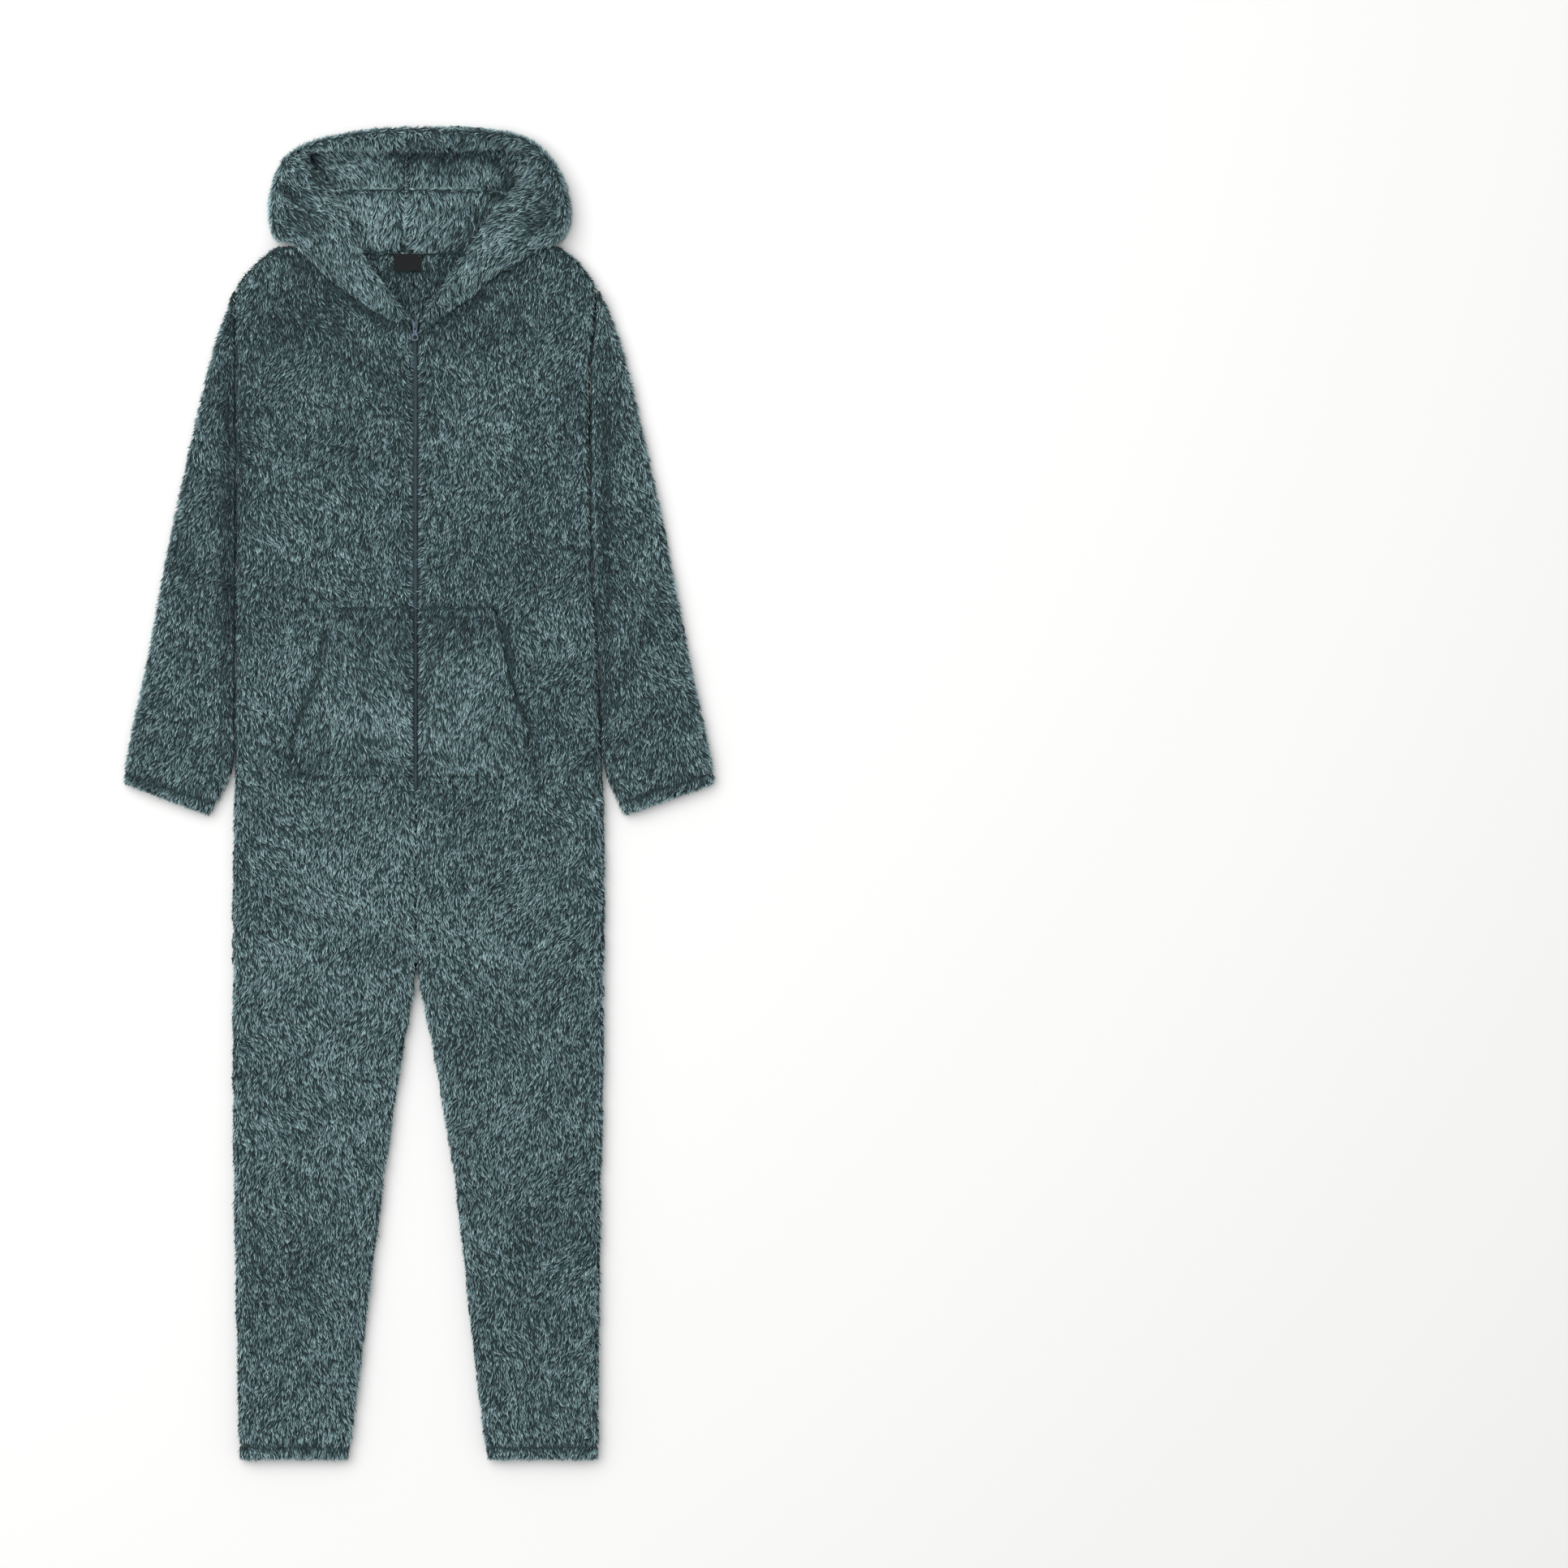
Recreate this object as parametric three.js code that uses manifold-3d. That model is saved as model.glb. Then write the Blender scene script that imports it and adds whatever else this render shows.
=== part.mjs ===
// A hooded onesie pajama in long-pile fleece, zipped up and laid out flat on its back.
// Millimetres. X runs to the wearer's left, Y from the ankle hems up to the hood, Z up from where it lies.
// Every cloth piece is a wall as thick as the fleece with its pile, so its faces are where the fur ends.
import * as THREE from 'three';
import Module from 'manifold-3d';
import { mergeVertices } from 'three/addons/utils/BufferGeometryUtils.js';

const wasm = await Module();
wasm.setup();

// Cloth and seams
const clothThick = 11;          // fleece with the pile of both its sides
const pressedThick = 8.5;       // the same fleece where other layers lie on it
const seamGap = 0.3;            // between pieces that are sewn together
const layerGap = 0.5;           // between pieces that lie on each other
const sideRound = 10;           // how far a side seam or a folded edge rounds in
const seamRound = 5;            // how far the pile parts beside a seam
const seamDrop = 4;

// Heights along the garment
const crotchY = 648;
const zipEndY = 883;
const zipTopY = 1491;
const neckSeamY = 1592;
const hoodTopY = 1761;
const crestY = 1679;            // where the hood's back folds over
const hemY = 21;                // stitch line of the ankle hems
const cuffHem = 19;             // stitch line of the cuffs, from their edge

// The zip
const zipHalfGap = 5.5;         // from its centre to the front halves
const tapeThick = 1.2;
const coilWidth = 5.6;
const coilThick = 2.6;

// Outline of body and legs. out: side edge, in: inside leg, each from the zip's line
const bodyOutline = [
  { y: 0,    outRight: 232,   outLeft: 239,   inRight: 91,  inLeft: 96 },
  { y: 7,    outRight: 233.5, outLeft: 241,   inRight: 88,  inLeft: 93 },
  { y: 107,  outRight: 236,   outLeft: 241,   inRight: 75,  inLeft: 80 },
  { y: 214,  outRight: 237.5, outLeft: 243,   inRight: 62,  inLeft: 69 },
  { y: 321,  outRight: 240,   outLeft: 244,   inRight: 49,  inLeft: 56 },
  { y: 428,  outRight: 241,   outLeft: 245,   inRight: 35,  inLeft: 45 },
  { y: 535,  outRight: 242,   outLeft: 248,   inRight: 18,  inLeft: 25 },
  { y: 588,  outRight: 242,   outLeft: 248,   inRight: 8.5, inLeft: 13 },
  { y: 622,  outRight: 241.5, outLeft: 248,   inRight: 3.5, inLeft: 6 },
  { y: 648,  outRight: 241,   outLeft: 248,   inRight: 0,   inLeft: 0 },
  { y: 760,  outRight: 241.5, outLeft: 249,   inRight: 0,   inLeft: 0 },
  { y: 916,  outRight: 238.5, outLeft: 246,   inRight: 0,   inLeft: 0 },
  { y: 1050, outRight: 238,   outLeft: 240,   inRight: 0,   inLeft: 0 },
  { y: 1177, outRight: 237,   outLeft: 231.5, inRight: 0,   inLeft: 0 },
  { y: 1300, outRight: 237,   outLeft: 229,   inRight: 0,   inLeft: 0 },
  { y: 1445, outRight: 237.5, outLeft: 230,   inRight: 0,   inLeft: 0 },
  { y: 1551, outRight: 237.5, outLeft: 238.5, inRight: 0,   inLeft: 0 },
  { y: 1567, outRight: 224,   outLeft: 227,   inRight: 0,   inLeft: 0 },
  { y: 1584, outRight: 208,   outLeft: 213,   inRight: 0,   inLeft: 0 },
  { y: 1594, outRight: 195,   outLeft: 201,   inRight: 0,   inLeft: 0 },
  { y: 1603, outRight: 184,   outLeft: 191,   inRight: 0,   inLeft: 0 },
];

// Neck edges of the front and back halves, from the zip's line
const frontNeck = [
  { y: 1504, x: 5.5 }, { y: 1514, x: 13 }, { y: 1533, x: 40 }, { y: 1553, x: 76 },
  { y: 1567, x: 101 }, { y: 1584, x: 131 }, { y: 1594, x: 149 }, { y: 1603, x: 164 },
];
const backNeck = [{ y: neckSeamY, x: 104 }, { y: 1597, x: 130 }, { y: 1603, x: 158 }];

// Outer edge of the sleeves, the fold along the arm
const sleeveOutline = [
  { y: 866,  right: 389, left: 396 }, { y: 905,  right: 386, left: 394.5 },
  { y: 963,  right: 376, left: 383 }, { y: 1059, right: 355, left: 362 },
  { y: 1166, right: 336, left: 341 }, { y: 1273, right: 314, left: 320 },
  { y: 1380, right: 290, left: 295 }, { y: 1466, right: 270, left: 275 },
  { y: 1498, right: 258, left: 263 }, { y: 1519, right: 249.5, left: 255 },
  { y: 1541, right: 241.5, left: 246.5 },
];
// Rows across the sleeves, from the cuff to the armhole's top. inY: at the underarm seam, outY: at the fold
const sleeveRows = [
  { inY: 850,  outY: 893 },  { inY: 856,  outY: 899 },  { inY: 868,  outY: 910 },  { inY: 880,  outY: 922 },
  { inY: 898,  outY: 940 },  { inY: 916,  outY: 957 },  { inY: 980,  outY: 1018 }, { inY: 1050, outY: 1082 },
  { inY: 1113, outY: 1140 }, { inY: 1177, outY: 1198 }, { inY: 1240, outY: 1256 }, { inY: 1300, outY: 1310 },
  { inY: 1372, outY: 1377 }, { inY: 1445, outY: 1446 }, { inY: 1490, outY: 1489 }, { inY: 1517, outY: 1515 },
  { inY: 1543, outY: 1540 },
];
const sleeveFreeEdge = [        // the underarm seam below the elbow, where it leaves the body's side
  { y: 850, right: 272, left: 274.5 }, { y: 872, right: 260, left: 263 },
  { y: 893, right: 249, left: 254.5 },
  { y: 916, right: 239.5, left: 247 },
];

// Kangaroo pocket: its outer edge from the bottom seam up the curved mouth to the top seam
const pocketOutline = [
  { y: 905,  right: 136, left: 116 }, { y: 914,  right: 149, left: 133 }, { y: 935,  right: 155, left: 149 },
  { y: 970,  right: 158, left: 146 }, { y: 1007, right: 139, left: 133 }, { y: 1044, right: 124, left: 121 },
  { y: 1079, right: 119, left: 115 }, { y: 1114, right: 117, left: 107 }, { y: 1125, right: 119, left: 108 },
];
const pocketRaise = 8;
const pocketGape = { left: 6.5, right: 2.5 };

// Outline of the hood seen from above, from the top of its centre seam down round the lobe to the notch
const hoodOutline = {
  right: [[0, 1761], [47, 1759.5], [92, 1753], [128, 1745], [158, 1733], [178.5, 1715], [189.5, 1688],
    [195.5, 1655], [192, 1622], [185, 1608]],
  left: [[0, 1761], [43.5, 1760.5], [103, 1757], [133, 1751.5], [160.5, 1739], [179, 1720], [194, 1697],
    [205.5, 1657], [203.5, 1625], [189, 1605]],
};
// Its lower back, which lies folded under the upper back of the body, down to the tip at the centre
const pouchHalfWidth = 172;
const pouchTipY = 1496;
const pouchRise = 124;
const pouchCurve = 1.6;
const hoodSeam = -14;           // the hood's centre seam lies a little to the wearer's right

const smoothStep = (from, to, value) => THREE.MathUtils.smoothstep(value, from, to);

// Reads one column of a table at y, on straight lines between its rows
function readTable(table, y, column) {
  const rows = table[0].y < table[table.length - 1].y ? table : [...table].reverse();
  if (y <= rows[0].y) return rows[0][column];
  for (let i = 1; i < rows.length; i++) {
    if (y > rows[i].y) continue;
    const share = (y - rows[i - 1].y) / (rows[i].y - rows[i - 1].y);
    return THREE.MathUtils.lerp(rows[i - 1][column], rows[i][column], share);
  }
  return rows[rows.length - 1][column];
}

// How high the folded lower hood lifts the body's layers at a point
function pouchEdgeY(x) {
  return pouchTipY + pouchRise * Math.pow(Math.abs(x) / pouchHalfWidth, pouchCurve);
}
function lift(x, y) {
  const edge = pouchEdgeY(x);
  const lower = smoothStep(edge - 70, edge - 3, y) * (pressedThick + layerGap);
  const upper = smoothStep(edge + 4, edge + 46, y) * (pressedThick - 0.5);
  return lower + upper;
}

// Soft troughs left in the front when it was laid out, each along a short line
const frontTroughs = [
  { x: -60, y: 955, alongX: 1, alongY: 0.12, half: 46, wide: 11, deep: 2.4 },
  { x: -196, y: 470, alongX: 0.06, alongY: 1, half: 190, wide: 26, deep: 1.6 },
  { x: 150, y: 620, alongX: -0.22, alongY: 1, half: 150, wide: 24, deep: 1.5 },
  { x: -52, y: 700, alongX: 0.42, alongY: 1, half: 90, wide: 18, deep: 1.6 },
  { x: 58, y: 720, alongX: -0.36, alongY: 1, half: 100, wide: 18, deep: 1.5 },
  { x: 108, y: 1240, alongX: 0.2, alongY: 1, half: 130, wide: 26, deep: 1.5 },
  { x: -150, y: 1400, alongX: -0.3, alongY: 1, half: 120, wide: 26, deep: 1.4 },
];
function troughDepth(x, y) {
  let depth = 0;
  for (const trough of frontTroughs) {
    const length = Math.hypot(trough.alongX, trough.alongY);
    const dx = x - trough.x;
    const dy = y - trough.y;
    const along = (dx * trough.alongX + dy * trough.alongY) / length / trough.half;
    const across = (dx * trough.alongY - dy * trough.alongX) / length / trough.wide;
    depth += trough.deep * Math.exp(-(along ** 2) * 1.5 - across ** 2);
  }
  return depth;
}

// A hem thins at its edge and is drawn in along its stitches
function hemFall(distance, stitches) {
  const edge = 3.6 * (1 - smoothStep(0, 8, distance));
  const groove = 2.6 * Math.exp(-(((distance - stitches) / 4.5) ** 2));
  return edge + groove;
}

const ankleReach = 60;          // the hem shows no further up the leg than this
function backBottom(x, y) {
  const hem = y < ankleReach ? 0.6 * hemFall(y, hemY) : 0;
  return lift(x, y) + Math.min(layerGap, lift(x, y)) + hem;
}
function backTop(x, y) {
  return clothThick + lift(x, y) + Math.min(layerGap, lift(x, y));
}
function frontBottom(x, y) {
  return backTop(x, y) + layerGap;
}
function frontTop(x, y) {
  const hem = y < ankleReach ? hemFall(y, hemY) : 0;
  return frontBottom(x, y) + clothThick - hem - troughDepth(x, y);
}

// A closed outline across a cloth piece: s is the way from its inner edge, drop the depth below its top face
// or the height over its bottom face. A corner is [reach, drop] where it is rounded, null where square.
function crossSection(width, corners, topMids, bottomMids) {
  // From the face out to the edge: an angle of a quarter turn is on the face, 0 is on the edge
  const arc = (corner, atEdge, face) => {
    const [reach, drop] = corner ?? [0, 0];
    const turns = corner ? [1, 0.5, 0] : [0];
    return turns.map((turn) => {
      const inset = reach * (1 - Math.cos(turn * Math.PI / 2));
      const down = drop * (1 - Math.sin(turn * Math.PI / 2));
      return { s: atEdge === 0 ? inset : width - inset, drop: down, face };
    });
  };
  const mids = (count, from, to, face) => Array.from({ length: count }, (_, i) => ({
    s: THREE.MathUtils.lerp(from, to, (i + 1) / (count + 1)), drop: 0, face,
  }));
  const reachOf = (corner) => (corner ? corner[0] : 0);
  return [
    ...arc(corners.inTop, 0, 'top').reverse(),
    ...mids(topMids, reachOf(corners.inTop), width - reachOf(corners.outTop), 'top'),
    ...arc(corners.outTop, width, 'top'),
    ...arc(corners.outBottom, width, 'bottom').reverse(),
    ...mids(bottomMids, width - reachOf(corners.outBottom), reachOf(corners.inBottom), 'bottom'),
    ...arc(corners.inBottom, 0, 'bottom'),
  ];
}

// Triangles between two rings of a body, each given by the index of its first point
function bandTriangles(a, b, count) {
  const triangles = [];
  for (let i = 0; i < count; i++) {
    const j = (i + 1) % count;
    triangles.push([a + i, a + j, b + j], [a + i, b + j, b + i]);
  }
  return triangles;
}
// Closes a ring whose first topCount points run out over its top and whose others run back under it
function capTriangles(start, count, topCount, reach) {
  const triangles = [];
  const bottomAt = (n) => (n === 0 ? count - 1 : count - 1 - n);
  let top = 0;
  let low = 0;
  while (top < topCount - 1 || low < count - topCount - 1) {
    const nextTop = top < topCount - 1 ? reach(top + 1) : Infinity;
    const nextLow = low < count - topCount - 1 ? reach(bottomAt(low + 1)) : Infinity;
    if (nextTop <= nextLow) {
      triangles.push([start + top, start + bottomAt(low), start + top + 1]);
      top++;
    } else {
      triangles.push([start + top, start + bottomAt(low), start + bottomAt(low + 1)]);
      low++;
    }
  }
  return triangles;
}
const reachIn = (ring) => (i) => Math.hypot(ring[i][0] - ring[0][0], ring[i][1] - ring[0][1]);
const flipped = (triangles) => triangles.map(([a, b, c]) => [a, c, b]);

// A closed body through rings of equally many points, each with its first topCount points on top
function loft(rings, topCount) {
  const count = rings[0].length;
  const last = rings.length - 1;
  const triangles = [];
  for (let r = 0; r < last; r++) triangles.push(...bandTriangles(r * count, (r + 1) * count, count));
  triangles.push(...capTriangles(0, count, topCount, reachIn(rings[0])));
  triangles.push(...flipped(capTriangles(last * count, count, topCount, reachIn(rings[last]))));
  return closedGeometry(rings.flat(), triangles);
}

// Makes the geometry and turns its faces outwards
function closedGeometry(vertices, triangles) {
  let volume = 0;
  for (const [a, b, c] of triangles) {
    const [pa, pb, pc] = [vertices[a], vertices[b], vertices[c]];
    volume += pa[0] * (pb[1] * pc[2] - pb[2] * pc[1]) - pa[1] * (pb[0] * pc[2] - pb[2] * pc[0])
      + pa[2] * (pb[0] * pc[1] - pb[1] * pc[0]);
  }
  const faces = volume < 0 ? triangles.map(([a, b, c]) => [a, c, b]) : triangles;
  const geometry = new THREE.BufferGeometry();
  geometry.setAttribute('position', new THREE.Float32BufferAttribute(vertices.flat(), 3));
  geometry.setIndex(faces.flat());
  return geometry;
}

function toManifold(geometry) {
  const bare = geometry.clone();
  bare.deleteAttribute('normal');
  bare.deleteAttribute('uv');
  const merged = mergeVertices(bare, 1e-4);
  return new wasm.Manifold(new wasm.Mesh({
    numProp: 3,
    vertProperties: new Float32Array(merged.attributes.position.array),
    triVerts: new Uint32Array(merged.index.array),
  }));
}
function fromManifold(solid) {
  const mesh = solid.getMesh();
  const geometry = new THREE.BufferGeometry();
  geometry.setAttribute('position', new THREE.Float32BufferAttribute(mesh.vertProperties, 3));
  geometry.setIndex(Array.from(mesh.triVerts));
  return geometry;
}

// Rows across the body halves, closer where the cloth rises over the hood's folded back and at the hems
const frontYs = [0, 4, 8, 15, 21, 27, 60, 160, 268, 375, 480, 560, 605, 636, 649, 700, 760, 820, 883, 884,
  905, 930, 955, 980, 1050, 1126, 1177, 1240, 1300, 1372, 1418, 1445, 1466, 1482, 1497, 1504, 1514, 1524,
  1533, 1543, 1551, 1559, 1567, 1576, 1584, 1594, 1603];
const backYs = [0, 4, 8, 15, 21, 27, 60, 214, 375, 535, 605, 636, 649, 760, 916, 1050, 1177, 1300, 1418,
  1445, 1466, 1482, 1497, 1504, 1514, 1524, 1533, 1543, 1551, 1559, 1567, 1576, 1584, 1592, 1592.4, 1597,
  1603];

function insideLeg(y, side) {
  return Math.max(seamGap / 2, readTable(bodyOutline, y, side === 1 ? 'inLeft' : 'inRight'));
}
function frontInner(y, side) {
  if (y < crotchY) return insideLeg(y, side);
  if (y < zipEndY + 0.5) return seamGap / 2;
  return Math.max(zipHalfGap, readTable(frontNeck, y, 'x'));
}
function backInner(y, side) {
  if (y < crotchY) return insideLeg(y, side);
  return y <= neckSeamY ? seamGap / 2 : readTable(backNeck, y, 'x');
}
function outerEdge(y, side) {
  return readTable(bodyOutline, y, side === 1 ? 'outLeft' : 'outRight');
}

// One half of the body with its leg, through its rows. grow makes it a cutter that keeps a gap around it
function bodyHalf({ side, ys, inner, bottom, top, corners, topMids, bottomMids, grow = 0 }) {
  let topCount = 0;
  const rings = ys.map((y, row) => {
    const lastRow = row === ys.length - 1;
    const inX = inner(y, side) - grow;
    const outX = outerEdge(y, side) + grow;
    const width = outX - inX;
    const shape = corners(y, Math.min(sideRound, width / 2 - 1));
    const shiftedY = y + (row === 0 ? -grow : 0) + (lastRow ? grow : 0);
    const section = crossSection(width, shape, topMids, bottomMids);
    topCount = section.filter((point) => point.face === 'top').length;
    return section.map(({ s, drop, face }) => {
      const x = side * (inX + s);
      const z = face === 'top' ? top(x, y) + grow - drop : bottom(x, y) - grow + drop;
      return [x, shiftedY, z];
    });
  });
  return loft(rings, topCount);
}

// Below the crotch the inside leg is a folded edge, above it a seam. The hem is thinner than the cloth above
const foldDrop = clothThick - 3.2;
const hemDrop = clothThick - 4.6;
const edgeDrop = (y) => (y < hemY + 9 ? hemDrop : foldDrop);
const frontHalf = (side, grow = 0) => bodyHalf({
  side, ys: frontYs, inner: frontInner, bottom: frontBottom, top: frontTop, topMids: 4, bottomMids: 3, grow,
  corners: (y, reach) => ({
    inTop: y < crotchY ? [reach, edgeDrop(y)] : [Math.min(seamRound, reach), seamDrop],
    outTop: [reach, edgeDrop(y)], outBottom: null, inBottom: null,
  }),
});
const backHalf = (side, grow = 0) => bodyHalf({
  side, ys: backYs, inner: backInner, bottom: backBottom, top: backTop, topMids: 3, bottomMids: 3, grow,
  corners: (y, reach) => ({
    inTop: null, outTop: null, outBottom: [reach, foldDrop],
    inBottom: y < crotchY ? [reach, foldDrop] : [Math.min(seamRound, reach), seamDrop],
  }),
});

// A sleeve is a flat tube with a slit inside it, open at the cuff
const slitHeight = 0.6;
const slitMouth = 3;
function sleeve(side) {
  const column = side === 1 ? 'left' : 'right';
  const height = 2 * clothThick + layerGap;
  const innerX = (y) => (y < 916 ? readTable(sleeveFreeEdge, y, column) : outerEdge(y, side) + layerGap);
  const place = (row, share, z) => {
    const inX = innerX(row.inY);
    const outX = readTable(sleeveOutline, row.outY, column);
    const x = THREE.MathUtils.lerp(inX, outX, share);
    return [side * x, THREE.MathUtils.lerp(row.inY, row.outY, share), z];
  };
  const widthOf = (row) => Math.hypot(
    readTable(sleeveOutline, row.outY, column) - innerX(row.inY), row.outY - row.inY);
  const cuffDistance = (row) => row.inY - sleeveRows[0].inY;
  const outerRing = (row) => {
    const width = widthOf(row);
    const reach = Math.min(sideRound, width / 2 - 0.6);
    const drop = height / 2 - 0.6;
    const corner = [reach, drop];
    const fall = hemFall(cuffDistance(row), cuffHem);
    const corners = { inTop: corner, outTop: corner, outBottom: corner, inBottom: corner };
    const shape = crossSection(width, corners, 3, 2);
    return shape.map(({ s, drop: down, face }) => {
      const flatness = 1 - down / drop;
      const valley = 2.2 * Math.exp(-(((s - 16) / 12) ** 2)) * smoothStep(0, 60, width);
      const z = face === 'top' ? height - down - (fall + valley) * flatness : down + 0.5 * fall * flatness;
      return place(row, s / width, z);
    });
  };
  const slitRing = (row) => {
    const width = widthOf(row);
    const mouth = THREE.MathUtils.lerp(slitMouth, slitHeight, smoothStep(0, 30, cuffDistance(row)));
    const corner = [2, mouth / 2 - 0.05];
    const shape = crossSection(width - 2 * clothThick,
      { inTop: corner, outTop: corner, outBottom: corner, inBottom: corner }, 3, 2);
    return shape.map(({ s, drop: down, face }) => {
      const z = height / 2 + (face === 'top' ? mouth / 2 - down : down - mouth / 2);
      return place(row, (s + clothThick) / width, z);
    });
  };
  const outer = sleeveRows.map(outerRing);
  const slit = sleeveRows.filter((row, i) => row.inY < 1460 && (i < 4 || i % 2 === 1)).map(slitRing);
  const count = outer[0].length;
  const topCount = 9;
  const slitStart = outer.length * count;
  const triangles = [];
  for (let r = 0; r + 1 < outer.length; r++) {
    triangles.push(...bandTriangles(r * count, (r + 1) * count, count));
  }
  for (let r = 0; r + 1 < slit.length; r++) {
    triangles.push(...bandTriangles(slitStart + (r + 1) * count, slitStart + r * count, count));
  }
  triangles.push(...bandTriangles(slitStart, 0, count));
  const lastOuter = outer.length - 1;
  const lastSlit = slit.length - 1;
  triangles.push(...flipped(capTriangles(lastOuter * count, count, topCount, reachIn(outer[lastOuter]))));
  triangles.push(...capTriangles(slitStart + lastSlit * count, count, topCount, reachIn(slit[lastSlit])));
  return closedGeometry([...outer.flat(), ...slit.flat()], triangles);
}

// The pocket half follows the front half, out from it by its own thickness, and its curved side stays open
const pocketInner = zipHalfGap + 1.5;
const pocketCrown = 1.6;
const pocketYs = [905, 909, 914, 920, 935, 955, 970, 988, 1007, 1026, 1044, 1062, 1079, 1097, 1112, 1119,
  1125];
function pocket(side) {
  const column = side === 1 ? 'left' : 'right';
  const sink = 3;               // the block starts inside the front half, which is then cut out of it
  let topCount = 0;
  const rings = pocketYs.map((y) => {
    const width = readTable(pocketOutline, y, column) - pocketInner;
    const edge = Math.min(smoothStep(903, 916, y) + 0.25, smoothStep(1127, 1117, y) + 0.3, 1);
    const shape = crossSection(width, {
      inTop: [seamRound, 0.55 * pocketRaise * edge], outTop: [4.5, 0.6 * pocketRaise * edge],
      outBottom: null, inBottom: null,
    }, 4, 2);
    topCount = shape.filter((point) => point.face === 'top').length;
    return shape.map(({ s, drop, face }) => {
      const x = side * (pocketInner + s);
      const open = smoothStep(925, 950, y) * smoothStep(1122, 1095, y);
      const gape = pocketGape[column] * smoothStep(width - 45, width - 2, s) * open;
      const rise = (pocketRaise + pocketCrown * Math.sin((s / width) * Math.PI)) * edge + gape;
      const z = face === 'top' ? frontTop(x, y) + rise - drop : frontTop(x, y) - sink + gape * 1.9;
      return [x, y, z];
    });
  });
  const block = toManifold(loft(rings, topCount));
  return fromManifold(block.subtract(toManifold(frontHalf(side, seamGap))));
}

// A flat layer of the hood with rounded edges, between two heights
function hoodLayer(outline, low, high, round) {
  const shape = new THREE.Shape(outline.map(([x, y]) => new THREE.Vector2(x, y)));
  const geometry = new THREE.ExtrudeGeometry(shape, {
    depth: high - low - 2 * round, bevelEnabled: true, bevelThickness: round, bevelSize: round,
    bevelOffset: -round, bevelSegments: 2, steps: 1, curveSegments: 1,
  });
  geometry.translate(0, 0, low + round);
  return toManifold(geometry);
}
function smoothLine(points, count) {
  const places = points.map(([x, y]) => new THREE.Vector3(x, y, 0));
  const curve = new THREE.CatmullRomCurve3(places, false, 'centripetal');
  return curve.getSpacedPoints(count).map((point) => [point.x, point.y]);
}
function pouchLine(side, seamX, inset) {
  const points = [];
  const reach = pouchHalfWidth - inset;
  for (let i = 0; i <= 8; i++) {
    const x = THREE.MathUtils.lerp(side * reach, seamX, i / 8);
    points.push([x, pouchEdgeY(x) + inset]);
  }
  return points;
}

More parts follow.
